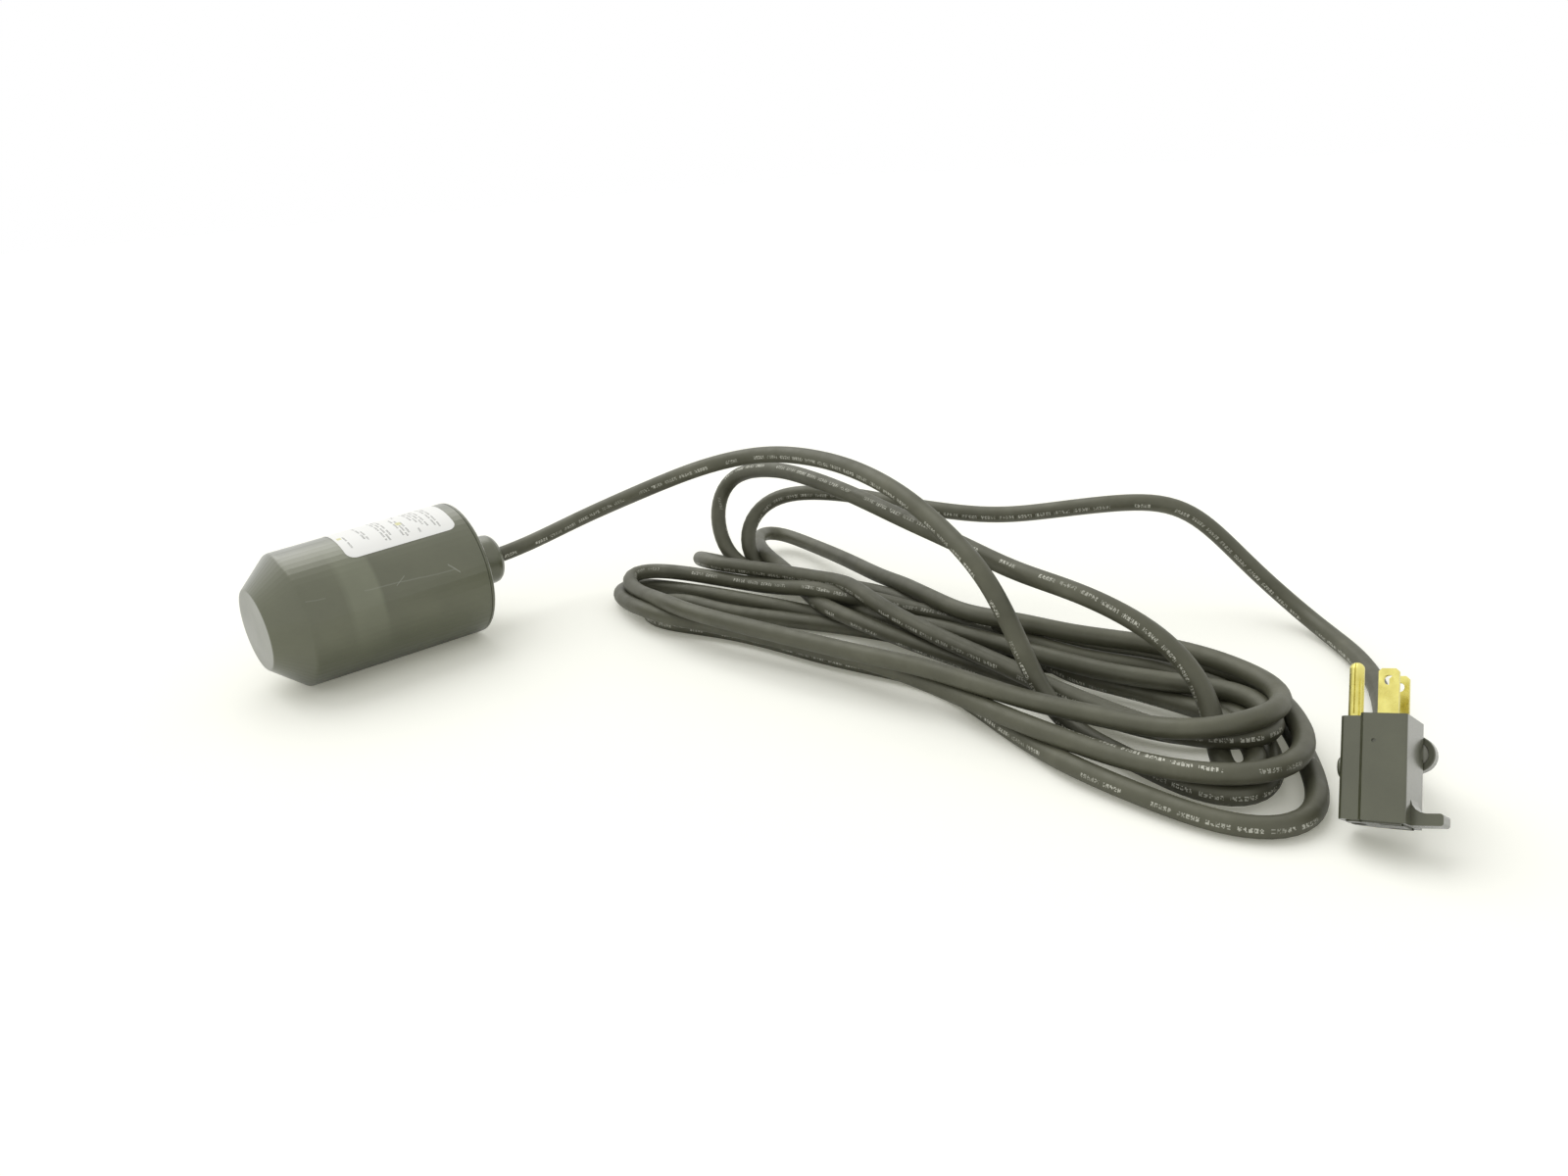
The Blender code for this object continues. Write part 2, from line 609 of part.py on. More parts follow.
def plug_outline(inset=0.0):
    """The moulded block seen along the prongs: its broad faces step in towards the ground pin."""
    half = PLUG_THICKNESS / 2 - inset
    end = half - PLUG_STEP - PLUG_END_TAPER
    low, high = -PLUG_BLADE_SIDE + inset, PLUG_PIN_SIDE - inset
    right = [(half, PLUG_STEP_AT), (half - PLUG_STEP, PLUG_STEP_AT + PLUG_STEP), (end, high, PLUG_CORNER)]
    left = [(-x, y, *rest) for x, y, *rest in reversed(right)]
    return rounded([(-half, low, PLUG_EDGE), (half, low, PLUG_EDGE), *right, *left])


def make_plug_body(frame):
    body = plug_child(plate("plug_body", [plug_outline()], PLUG_HEIGHT), frame, (0, 0, -PLUG_HEIGHT / 2))
    body = meshed(body, "plug_plastic")

    edge = -PLUG_BLADE_SIDE
    low = GRIP_RISE - PLUG_HEIGHT
    profile = rounded([(edge + 1 * MM, -PLUG_HEIGHT), (edge - TAB_REACH, low, 1 * MM),
                       (edge - TAB_REACH, low + GRIP_THICKNESS, 1 * MM),
                       (edge, GRIP_THICKNESS - PLUG_HEIGHT, GRIP_FILLET),
                       (edge, GRIP_THICKNESS + GRIP_FILLET - PLUG_HEIGHT + 0.5 * MM),
                       (edge + 1 * MM, GRIP_THICKNESS + GRIP_FILLET - PLUG_HEIGHT + 0.5 * MM)])
    grip = meshed(plug_child(plate("plug_grip", [profile], GRIP_WIDTH), frame,
                             rotation=(math.pi / 2, 0, math.pi / 2)))
    boss = plug_child(rod("plug_boss", BOSS_RADIUS, BOSS_HEIGHT + 2 * MM, sides=24, edge=1.2 * MM), frame,
                      (0, PLUG_PIN_SIDE - 2 * MM, -BOSS_DROP), (-math.pi / 2, 0, 0))
    join(body, grip, boss)

    pocket = meshed(plug_child(plate("plate_pocket", [plug_outline(PLATE_INSET)], 2 * PLATE_DEPTH), frame,
                               (0, 0, -PLUG_HEIGHT)))
    dimple = plug_child(rod("plug_dimple", DIMPLE_RADIUS, DIMPLE_DEPTH + 1 * MM, sides=16), frame,
                        (-PLUG_THICKNESS / 2 - 1 * MM, DIMPLE_SIDE, -DIMPLE_DROP), (0, math.pi / 2, 0))
    top_step = in_plug(box("plug_top_step", (-PLUG_THICKNESS, PLUG_STEP_AT + PLUG_STEP, -PLUG_TOP_STEP),
                           (PLUG_THICKNESS, PLUG_PIN_SIDE + 1 * MM, 1 * MM)), frame)
    cut(body, pocket, dimple, top_step)
    for cutter in metal_pockets(frame):
        cut(body, cutter)
    shade(body)

    face = plug_child(plate("receptacle_plate", [plug_outline(PLATE_INSET + GAP)],
                            PLATE_DEPTH - GAP + PLATE_PROUD), frame,
                      (0, 0, -PLUG_HEIGHT + (PLATE_DEPTH - GAP - PLATE_PROUD) / 2))
    face = meshed(face, "plug_plastic")
    for cutter in socket_slots(frame):
        cut(face, cutter)


def blade_x(side):
    return side * BLADE_SPACING / 2


def contact_top():
    """The height at which the contacts' leaves meet, inside the block."""
    return -PLUG_HEIGHT + PLATE_DEPTH + CONTACT_DEPTH


def metal_pockets(frame):
    """Room in the block for the blades, the ground pin and their contacts."""
    cutters = []
    top = contact_top()
    bottom = -PLUG_HEIGHT + PLATE_DEPTH - 0.5 * MM
    half_y = BLADE_WIDTH / 2 + GAP
    for name, side in (("line", -1), ("neutral", 1)):
        x = blade_x(side)
        reach = BLADE_THICKNESS / 2 + GAP
        low = -BLADE_ROOT - GAP if side < 0 else top - 1 * MM
        cutters.append(in_plug(box(f"{name}_blade_pocket", (x - reach, -half_y, low), (x + reach, half_y, 1 * MM)), frame))
        wide = BLADE_THICKNESS / 2 + SLOT_CLEARANCE + CONTACT_LEAF
        cutters.append(in_plug(box(f"{name}_contact_pocket", (x - wide, SOCKET_SHIFT - half_y, bottom),
                                   (x + wide, SOCKET_SHIFT + half_y, top + CONTACT_LEAF + GAP)), frame))
    reach = PIN_SHANK_RADIUS + GAP
    pin = rod("pin_pocket", reach, 1 * MM - top, sides=24)
    cutters.append(plug_child(pin, frame, (0, PIN_OFFSET, top - 0.5 * MM)))
    wide = PIN_RADIUS + SLOT_CLEARANCE + CONTACT_LEAF
    clip = rod("ground_contact_pocket", wide, top + CONTACT_LEAF + GAP - bottom, sides=24)
    cutters.append(plug_child(clip, frame, (0, PIN_OFFSET + SOCKET_SHIFT, bottom)))
    return cutters


def socket_slots(frame):
    """The openings that the pump's plug goes into."""
    cutters = []
    low, high = -PLUG_HEIGHT - 3 * MM, -PLUG_HEIGHT + PLATE_DEPTH + 1 * MM
    half_y = BLADE_WIDTH / 2 + SLOT_CLEARANCE
    for name, side in (("line", -1), ("neutral", 1)):
        x, reach = blade_x(side), BLADE_THICKNESS / 2 + SLOT_CLEARANCE
        cutters.append(in_plug(box(f"{name}_slot", (x - reach, SOCKET_SHIFT - half_y, low),
                                   (x + reach, SOCKET_SHIFT + half_y, high)), frame))
    hole = rod("ground_hole", PIN_RADIUS + SLOT_CLEARANCE, high - low, sides=24)
    cutters.append(plug_child(hole, frame, (0, PIN_OFFSET + SOCKET_SHIFT, low)))
    return cutters


def make_prongs(frame):
    half = BLADE_WIDTH / 2
    tip = BLADE_TIP
    # The line blade ends in the block. The neutral blade runs on to its contact as one stamping.
    for name, side, low in (("line_blade", -1, -BLADE_ROOT), ("neutral_blade", 1, contact_top() + CONTACT_LEAF / 2)):
        outline = [(-half, low), (half, low), (half, BLADE_LENGTH - tip), (half - tip, BLADE_LENGTH),
                   (tip - half, BLADE_LENGTH), (-half, BLADE_LENGTH - tip)]
        hole = circle(BLADE_HOLE_RADIUS, 20, (0, BLADE_HOLE_HEIGHT))
        blade = plug_child(plate(name, [outline, hole], BLADE_THICKNESS), frame, (blade_x(side), 0, 0),
                           (math.pi / 2, 0, math.pi / 2))
        blade = meshed(blade, "brass")
        if side > 0:
            join(blade, meshed(contact_clip("neutral_clip", frame, blade_x(side))))
        shade(blade)

    top = contact_top() + CONTACT_LEAF / 2
    height = PIN_LENGTH - top
    tip_fillet = PIN_RADIUS - 0.2 * MM
    shoulder = GAP - PLUG_TOP_STEP - top
    profile = [(0, height), (PIN_RADIUS, height, tip_fillet), (PIN_RADIUS, shoulder),
               (PIN_SHANK_RADIUS, shoulder), (PIN_SHANK_RADIUS, 0), (0, 0)]
    pin = turned("ground_pin", profile, 24, "brass", closed=False)
    plug_child(pin, frame, (0, PIN_OFFSET, top))
    seam = in_plug(box("pin_seam", (-PIN_RADIUS - 1 * MM, PIN_OFFSET - PIN_SEAM / 2, 1 * MM),
                       (-PIN_RADIUS + 1.2 * MM, PIN_OFFSET + PIN_SEAM / 2, PIN_LENGTH + 1 * MM)), frame)
    cut(pin, seam)
    bottom = -PLUG_HEIGHT + PLATE_DEPTH + GAP
    inner = PIN_RADIUS + SLOT_CLEARANCE - GAP
    ring = [(inner, top - bottom), (inner + CONTACT_LEAF, top - bottom), (inner + CONTACT_LEAF, 0), (inner, 0)]
    place = PIN_OFFSET + SOCKET_SHIFT
    clip = plug_child(turned("ground_clip", ring, 24), frame, (0, place, bottom))
    cap = plug_child(rod("ground_clip_top", inner + CONTACT_LEAF, CONTACT_LEAF, sides=24), frame,
                     (0, place, top - CONTACT_LEAF / 2))
    join(pin, clip, cap)
    shade(pin)


def contact_clip(name, frame, x, finish=None):
    """Two spring leaves joined at the top, open towards the socket's face."""
    inner = BLADE_THICKNESS / 2 + SLOT_CLEARANCE - GAP
    outer = inner + CONTACT_LEAF
    low, top = -PLUG_HEIGHT + PLATE_DEPTH + GAP, contact_top()
    pinch = 0.35 * MM
    left = [(-outer, low), (-inner, low), (-inner + pinch, low + 0.35 * (top - low)), (-inner, top),
            (inner, top), (inner - pinch, low + 0.35 * (top - low)), (inner, low), (outer, low),
            (outer - pinch, low + 0.35 * (top - low)), (outer, top + CONTACT_LEAF),
            (-outer, top + CONTACT_LEAF), (-outer + pinch, low + 0.35 * (top - low))]
    return plug_child(plate(name, [left], CONTACT_WIDTH, finish), frame, (x, SOCKET_SHIFT, 0), (math.pi / 2, 0, 0))


def make_contacts(frame):
    contact_clip("line_contact", frame, blade_x(-1), "brass")


def make_relief(frame):
    """A collar on the block's far face and a tapered sleeve, bent with the cable in it."""
    relief = plug_child(rod("plug_strain_relief", RELIEF_COLLAR_RADIUS, RELIEF_COLLAR, "plug_plastic", sides=28,
                            edge=0.4 * MM), frame, (PLUG_THICKNESS / 2 + GAP, RELIEF_SIDE, -RELIEF_DROP),
                       (0, math.pi / 2, 0))
    sleeve = meshed(tube("relief_sleeve", [relief_point(1 * MM), *relief_axis()], RELIEF_ROOT_RADIUS, resolution=8,
                         taper=RELIEF_TIP_RADIUS / RELIEF_ROOT_RADIUS))
    ends = relief_point(-1 * MM), relief_point(RELIEF_LENGTH + 1 * MM)
    bore = meshed(tube("relief_bore", [ends[0], *relief_axis(), ends[1]], CABLE_RADIUS + GAP, resolution=6))
    join(relief, sleeve)
    cut(relief, bore)
    shade(relief)


def relief_axis():
    """The points that the sleeve, its bore and the cable in it share, from the collar to the tip."""
    bent = RELIEF_LENGTH - RELIEF_COLLAR
    return [relief_point(RELIEF_COLLAR + bent * i / RELIEF_PARTS) for i in range(RELIEF_PARTS + 1)]


def relief_point(out):
    """A point on the strain relief's bent axis, so far out from the plug's far face."""
    bend = min(out, RELIEF_LENGTH) / RELIEF_BEND
    past = max(out - RELIEF_LENGTH, 0)
    place = Vector((PLUG_THICKNESS / 2 + RELIEF_BEND * math.sin(bend) + past * math.cos(bend),
                    RELIEF_SIDE + RELIEF_BEND * (1 - math.cos(bend)) + past * math.sin(bend), -RELIEF_DROP))
    return PLUG_PLACE + PLUG_TURN.to_matrix() @ place


def foot(point):
    """Where a free stretch stands on the hank, straight below its end."""
    return Vector((point.x, point.y, HANK_HEIGHT + GAP))


def make_cable():
    """The free stretches, and one solid for the hank that they rise from."""
    inside = [(JACKET_X, 0, AXIS_Z), (GLAND_X, 0, AXIS_Z)]
    lead = [Vector(p) * MM for p in LEAD_ROUTE]
    tube("cable_lead", [*smooth([*inside, *lead], ROUTE_STEP), foot(lead[-1])], CABLE_RADIUS, "cable_rubber")
    loop = [Vector(p) * MM for p in LOOP_ROUTE]
    tube("cable_loop", [foot(loop[0]), *smooth(loop, ROUTE_STEP), foot(loop[-1])], CABLE_RADIUS, "cable_rubber")
    tail = [Vector(p) * MM for p in TAIL_ROUTE]
    mouth = relief_point(RELIEF_LENGTH + 3 * MM)
    tube("cable_tail", [foot(tail[0]), *smooth([*tail, mouth], ROUTE_STEP), *reversed(relief_axis()),
                        relief_point(2 * GAP)], CABLE_RADIUS, "cable_rubber")

    outline = [Vector((x, y, 0)) * MM for x, y in HANK_OUTLINE]
    eye = [Vector((x, y, 0)) * MM for x, y in HANK_EYE]
    hank = plate("cable_hank", [smooth(outline, 12 * MM, closed=True), smooth(eye, 9 * MM, closed=True)],
                 HANK_HEIGHT, "cable_rubber")
    hank.location.z = HANK_HEIGHT / 2


def build():
    for old in list(bpy.data.objects):
        bpy.data.objects.remove(old)
    collection(PARTS)
    collection(CUTTERS)
    make_materials()
    make_shell()
    make_cap()
    make_carrier()
    make_switch()
    make_cores()
    make_lever()
    make_plug()
    make_cable()


build()
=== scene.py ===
import math

import bpy
import numpy as np
from mathutils import Euler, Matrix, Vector


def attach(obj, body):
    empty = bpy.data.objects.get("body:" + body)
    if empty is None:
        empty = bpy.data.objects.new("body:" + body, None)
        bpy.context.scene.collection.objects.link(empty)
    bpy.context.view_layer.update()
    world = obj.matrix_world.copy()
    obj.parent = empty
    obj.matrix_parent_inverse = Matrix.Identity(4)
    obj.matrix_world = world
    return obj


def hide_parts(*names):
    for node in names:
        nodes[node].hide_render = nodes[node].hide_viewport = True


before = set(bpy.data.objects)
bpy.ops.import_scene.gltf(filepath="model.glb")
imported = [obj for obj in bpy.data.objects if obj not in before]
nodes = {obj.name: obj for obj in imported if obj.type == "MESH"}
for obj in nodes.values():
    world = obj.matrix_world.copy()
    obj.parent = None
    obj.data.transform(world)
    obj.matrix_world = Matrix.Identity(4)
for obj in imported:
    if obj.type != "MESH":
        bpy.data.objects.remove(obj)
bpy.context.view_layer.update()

mm = 1000  # in a metre
noiseRoughness = 0.55
noiseRange = (0.3, 0.7)  # nearly all the values of a noise lie here


def feed(tree, socket, value):
    # gives a socket another node's result, a colour or a number
    if isinstance(value, bpy.types.NodeSocket):
        tree.links.new(value, socket)
    elif isinstance(value, tuple) and len(value) == 3:
        socket.default_value = (*value, 1)
    else:
        socket.default_value = value


def addNode(tree, kind, settings=None, **inputs):
    made = tree.nodes.new(kind)
    for key, value in (settings or {}).items():
        setattr(made, key, value)
    for key, value in inputs.items():
        feed(tree, made.inputs[key.replace("_", " ")], value)
    return made


def noise(tree, where, scale, detail):
    made = addNode(tree, "ShaderNodeTexNoise", Vector=where, Scale=scale, Detail=detail,
                   Roughness=noiseRoughness)
    return made.outputs["Fac"]


def ramp(tree, value, stops):
    made = addNode(tree, "ShaderNodeValToRGB", Fac=value)
    band = made.color_ramp
    while len(band.elements) < len(stops):
        band.elements.new(0.5)
    for element, (position, colour) in zip(band.elements, stops):
        element.position = position
        element.color = (*colour, 1)
    return made.outputs["Color"]


def mixColour(tree, factor, first, second):
    made = addNode(tree, "ShaderNodeMix", {"data_type": "RGBA"})
    factorAt, firstAt, secondAt, resultAt = 0, 6, 7, 2  # where the node has its sockets for colours
    for at, value in ((factorAt, factor), (firstAt, first), (secondAt, second)):
        feed(tree, made.inputs[at], value)
    return made.outputs[resultAt]


def spread(tree, value, low, high, newLow, newHigh):
    made = addNode(tree, "ShaderNodeMapRange", Value=value, From_Min=low, From_Max=high,
                   To_Min=newLow, To_Max=newHigh)
    return made.outputs[0]


def uneven(tree, where, scale, detail, low, high):
    return spread(tree, noise(tree, where, scale, detail), *noiseRange, low, high)


def maths(tree, operation, *values):
    made = addNode(tree, "ShaderNodeMath", {"operation": operation})
    for socket, value in zip(made.inputs, values):
        feed(tree, socket, value)
    return made.outputs[0]


def product(tree, *values):
    result = values[0]
    for value in values[1:]:
        result = maths(tree, "MULTIPLY", result, value)
    return result


def stepped(tree, value, size):
    # how many whole steps of this size there are
    return maths(tree, "FLOOR", maths(tree, "DIVIDE", value, size))


def near(tree, value, middle, reach):
    # 1 where the value is less than the reach from the middle
    return maths(tree, "LESS_THAN", maths(tree, "ABSOLUTE", maths(tree, "SUBTRACT", value, middle)), reach)


def between(tree, value, low, high):
    return product(tree, maths(tree, "GREATER_THAN", value, low), maths(tree, "LESS_THAN", value, high))


def uvParts(tree, name):
    uv = addNode(tree, "ShaderNodeUVMap", {"uv_map": name}).outputs[0]
    return addNode(tree, "ShaderNodeSeparateXYZ", Vector=uv).outputs


def newMaterial(name, sockets):
    made = bpy.data.materials.new(name)
    made.use_nodes = True
    shader = made.node_tree.nodes["Principled BSDF"]
    for key, value in sockets.items():
        feed(made.node_tree, shader.inputs[key], value)
    return made, made.node_tree, shader


def newFinish(name, finish):
    # a material with an uneven tint, and with uneven gloss and a fine grain where the finish has them
    made, tree, shader = newMaterial(name, finish["sockets"])
    where = tree.nodes.new("ShaderNodeTexCoord").outputs["Object"]
    tint = ramp(tree, noise(tree, where, *finish["tintNoise"]), finish["tints"])
    feed(tree, shader.inputs["Base Color"], tint)
    if "glossNoise" in finish:
        gloss = uneven(tree, where, *finish["glossNoise"], *finish["roughness"])
        feed(tree, shader.inputs["Roughness"], gloss)
    if "grainNoise" in finish:
        strength, distance = finish["grainDepth"]
        grain = addNode(tree, "ShaderNodeBump", Height=noise(tree, where, *finish["grainNoise"]),
                        Strength=strength, Distance=distance)
        feed(tree, shader.inputs["Normal"], grain.outputs["Normal"])
    return made, tree, shader, where, tint


def addObject(name, data):
    made = bpy.data.objects.new(name, data)
    bpy.context.scene.collection.objects.link(made)
    return made


def addMesh(name, points, faces, material):
    mesh = bpy.data.meshes.new(name)
    mesh.from_pydata([tuple(p) for p in points], [], faces)
    mesh.update()
    made = addObject(name, mesh)
    mesh.materials.append(material)
    mesh.shade_smooth()
    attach(made, "switch")
    return made


def dress(names, material):
    for name in names:
        nodes[name].data.materials.clear()
        nodes[name].data.materials.append(material)


def radians(turn):
    return [math.radians(a) for a in turn]


camera = {
    "place": (-0.1938, -0.5388, 0.2327),
    "turn": (68.43, 3.78, -42.10),
    "lens": 25.7,
    "sensor": 36,
}


def makeCamera():
    data = bpy.data.cameras.new("camera")
    data.sensor_width = camera["sensor"]
    data.lens = camera["lens"]
    made = addObject("camera", data)
    made.location = camera["place"]
    made.rotation_euler = radians(camera["turn"])
    bpy.context.scene.camera = made
    print("camera")


cable = {
    "diameter": 0.0082,
    "inside": (0.0381, 0, 0.0354),
    "exit": (0.06345, 0, 0.0354),
    "sides": 20,
    "sharpFrom": 50,  # degrees, only the cut ends are sharper
    "spacing": 5,  # mm between the points that settle
    "ringSpacing": 4,  # mm
    "heldFor": 60,  # mm from each end, where no strand moves it
    "freeAfter": 80,  # mm more, to where it gives way fully
    "overBench": 0.3,  # mm
    "softening": 8,  # rounds before it settles
    "smoothing": 5,  # rounds at the end
    "softShare": 0.25,  # what each point takes from each neighbour in such a round
    "lookEvery": 8,  # rounds between two searches for strands that meet
    "lookWithin": 1.8,  # cable widths
    "lookPast": 4,  # cable widths along it, since a place doesn't meet its own neighbours
    "settling": {"rounds": 420, "gap": 0.15, "push": 0.3, "evening": 0.2, "fading": 0.02},
    "relaxing": {"rounds": 300, "push": 0.4, "evening": 0.03, "opening": 0.5},
    "wideBend": 11,  # mm, and bends tighter than this open as far as the strands leave room
    # where the cable goes, in mm, from the gland to the plug
    "firstArch": [(76, -1, 36.5), (95, -4, 40.5), (118, -10, 47), (142, -71, 75), (157, -94.5, 83.5),
                  (163, -127, 90), (161.5, -173, 92), (157, -213, 86.5), (154, -239, 76.5),
                  (147, -266, 66), (148.5, -271, 58), (151, -274.5, 49.5), (151.5, -278.5, 41.5),
                  (150, -284.5, 35), (152, -287, 26), (153, -291, 18), (152.5, -297, 11),
                  (150.5, -306, 6)],
    "turns": [
        # the inner loop under the front strands, then back to the lowest loop on the left
        [(149.5, -315.5, 4.5), (148.5, -327.5, 4.5), (146.5, -342, 4.5), (144, -355.5, 4.5),
         (142.5, -365, 4.5), (143.5, -374.5, 4.5), (147, -381.5, 4.5), (154, -385.5, 4.5),
         (162, -385.5, 4.5), (171.5, -383.5, 4.5), (181, -379, 4.5), (191.5, -370.5, 4.5),
         (199, -358, 4.5), (204.5, -342.5, 4.5), (207, -323.5, 4.5), (206, -300.5, 4.5),
         (199.5, -274, 4.5), (180, -205, 4.5), (170, -170, 4.5), (156, -135, 4.5), (140, -100, 4.5),
         (136.5, -64.5, 4.5), (128, -60.5, 4.5), (121, -58, 4.5), (114, -59.5, 4.5), (109, -65.5, 4.5),
         (107, -74, 4.5)],
        # the lowest, in front
        [(111, -88.5, 4.5), (119.5, -108, 4.5), (126.5, -127.5, 4.5), (131.5, -153.5, 4.5),
         (136, -183, 4.5), (142.5, -208, 4.5), (148.5, -231, 4.5), (146.5, -255, 4.5), (137.5, -283, 4.5),
         (131, -307.5, 4.5), (128, -328, 4.5), (127.5, -345, 4.5), (127.5, -361.5, 4.5), (128, -376, 4.5),
         (130.5, -389.5, 4.5), (136.5, -400.5, 4.5), (143, -405.5, 4.5), (152, -407.5, 4.5),
         (163, -405, 4.5), (172, -400, 4.5), (181, -393.5, 4.5), (192.5, -385.5, 4.5), (207.5, -373, 4.5),
         (223, -357, 4.5), (229, -339, 4.5), (229, -320, 5), (223, -294.5, 6), (210, -272, 8),
         (199, -247.5, 9), (188.5, -220.5, 10), (185.5, -197, 10), (175.5, -167, 10), (167, -143, 9),
         (155.5, -112, 8), (147, -73, 6.5), (138, -39.5, 5), (131.5, -25.5, 5), (122, -28, 6),
         (113, -39, 7.5), (108.5, -58, 8)],
        # the one that lies on it
        [(110.5, -77.5, 8), (111.5, -99, 10), (118.5, -138.5, 12), (126, -178.5, 12.5),
         (133.5, -216, 12.5), (136, -247, 11.5), (136, -274.5, 10), (135.5, -295, 9.5), (135, -314, 10),
         (134, -332.5, 11), (135, -348.5, 12), (138.5, -362, 12.5), (143.5, -374.5, 13),
         (152.5, -384.5, 13), (162.5, -390.5, 13), (172, -392.5, 13), (182, -391, 13),
         (190.5, -386.5, 13), (200, -378.5, 13), (213.5, -365.5, 13), (221.5, -351.5, 13),
         (223.5, -336, 13), (220, -315, 13), (212, -291, 13), (202.5, -266.5, 13), (193, -240, 13),
         (192.5, -215, 14), (182, -189.5, 15), (173, -160.5, 15), (166.5, -126, 14), (157, -85.5, 13.5),
         (147.5, -56.5, 14), (136, -36, 15), (128.5, -30.5, 15), (122, -33.5, 14), (116, -45.5, 13),
         (114, -58.5, 12)],
        # the bright strand on top, and the loop behind
        [(111.5, -80, 13.5), (110, -102, 16), (112.5, -144.5, 19), (117.5, -183, 20.5), (125.5, -217, 20),
         (134.5, -243, 19), (137.5, -257.5, 18), (139, -272, 17.5), (140, -291, 17.5),
         (142.5, -308.5, 18), (144.5, -321, 19), (146, -333, 20), (147, -340.5, 20), (147, -349, 21),
         (151, -358.5, 21.5), (158, -366, 21.5), (167, -373, 21.5), (174.5, -376.5, 21.5),
         (184.5, -378, 21.5), (194.5, -376, 21.5), (204, -369.5, 21.5), (209, -361.5, 21.5),
         (212, -352, 21.5), (214.5, -340, 21.5), (216, -326, 21), (213.5, -311.5, 21), (209, -297.5, 21),
         (200, -278.5, 21), (191.5, -252.5, 21), (186.5, -234, 21), (186.5, -215, 21), (193.5, -191, 19),
         (201.5, -165, 17), (216.5, -123.5, 14), (226, -92, 11.5), (233, -63, 9.5), (236.5, -43, 9),
         (233.5, -34, 10.5), (223, -36, 13), (207, -50, 16), (194.5, -67, 18), (186.5, -82, 18.5)],
        # dives under the next one
        [(182.5, -95, 17.5), (180, -106.5, 16), (175, -121, 14.5), (170, -136.5, 13.5),
         (168, -150.5, 12.5), (165.5, -166.5, 12), (164.5, -181.5, 11.5), (164, -197, 11),
         (165, -213, 10), (167.5, -232, 8.5), (169, -251, 8), (170, -274.5, 5.5), (169, -300, 4.5),
         (170, -323, 4.5), (175.5, -341.5, 4.5), (184.5, -353, 4.5), (195.5, -359.5, 4.5),
         (206.5, -361, 4.5), (215.5, -358, 5), (219.5, -350, 6), (218.5, -334.5, 8), (212.5, -315, 9),
         (202.5, -292.5, 10), (190.5, -264.5, 12), (195, -235, 13.5), (196.5, -168.5, 13),
         (194, -128.5, 10.5), (192.5, -91, 8.5), (186, -59.5, 7.5), (178.5, -44.5, 9), (173, -38.5, 11.5),
         (167.5, -40.5, 14.5), (161.5, -50, 17.5), (157.5, -61.5, 19.5)],
        # goes under the top strand, then up to the standing turn
        [(157, -76, 21), (162, -92.5, 21.5), (167.5, -108, 21.5), (172, -124.5, 21), (175, -140, 20),
         (175, -158.5, 19.5), (172, -180.5, 19), (168.5, -202.5, 18.5), (165.5, -222, 18),
         (164.5, -237.5, 17), (164, -252, 16.5), (162.5, -274.5, 15.5), (160.5, -296, 14),
         (161.5, -314, 13), (160.5, -333, 12.5), (160.5, -349.5, 12.5), (164.5, -363.5, 12.5),
         (169, -372.5, 12.5), (173.5, -378, 12.5), (181, -379.5, 12.5), (189, -376.5, 12.5),
         (197.5, -369.5, 12.5), (204, -357, 12.5), (202.5, -342.5, 13), (197, -319.5, 13),
         (189.5, -296, 13), (186, -250, 13), (181, -211.5, 13), (174.5, -189, 13), (175.5, -159, 12),
         (177.5, -121, 12), (179, -96.5, 12), (176, -79, 12.5), (174, -68.5, 14.5), (174.5, -61, 18.5)],
    ],
    "standingTurn": [(170.5, -60.5, 32.5), (176, -52, 41), (179.5, -50.5, 48.5), (184.5, -50.5, 56.5),
                     (186.5, -61.5, 63.5), (186, -79, 68.5), (184.5, -101.5, 72.5), (178.5, -139, 73.5),
                     (173.5, -172.5, 72), (169, -204.5, 69), (165.5, -241.5, 65.5), (166, -269, 59.5),
                     (169, -297.5, 57), (172, -322, 50.5), (173.5, -334.5, 45.5), (175, -343.5, 38.5),
                     (176, -351, 30), (175.5, -355.5, 23.5), (172, -360, 19.5), (172, -360, 13),
                     (166.5, -363, 9)],
    "lastTurn": [(160.5, -367, 5), (155, -373.5, 4.5), (155.5, -379.5, 5), (158.5, -383, 8),
                 (165, -383, 11), (175.5, -376.5, 11), (186, -365, 9), (193, -350.5, 7),
                 (197, -335.5, 5.5), (197.5, -319.5, 5), (196.5, -301.5, 5), (191, -280, 5.5),
                 (195, -248, 6.5), (198, -214, 8), (198.5, -181.5, 8), (188.5, -150.5, 9),
                 (188, -115.5, 8), (188, -94.5, 7.5), (185, -80.5, 8), (183, -73, 11), (183.5, -69, 16)],
    "lastArch": [(180, -72.5, 29.5), (188, -65.5, 34.5), (196, -67, 43.5), (203, -76, 49.5),
                 (209, -90.5, 52), (218, -118, 53.5), (227, -149.5, 51), (236, -179.5, 50),
                 (245, -193.5, 48.5), (253, -207.5, 50), (261, -230, 55.5), (273, -252, 59.5),
                 (284, -264.5, 60), (287.5, -273.5, 59), (298.5, -280, 50.5), (304, -291, 39.5),
                 (308, -303, 27), (313, -314, 16.5), (313, -327, 8.5), (305.5, -343, 4.5),
                 (294, -358.5, 4.5), (285.5, -367.5, 4.5), (274.5, -377, 4.5), (262.5, -384.5, 4.5),
                 (250, -391, 4.5), (238, -396.5, 4.5), (226, -401.5, 4.5), (214, -406.5, 5)],
    # near this point, the print faces this many degrees from the top, towards the left of the way
    "printFaces": [((95, -4, 40.5), -95), ((163, -127, 90), -95), ((145, -279, 53), -100),
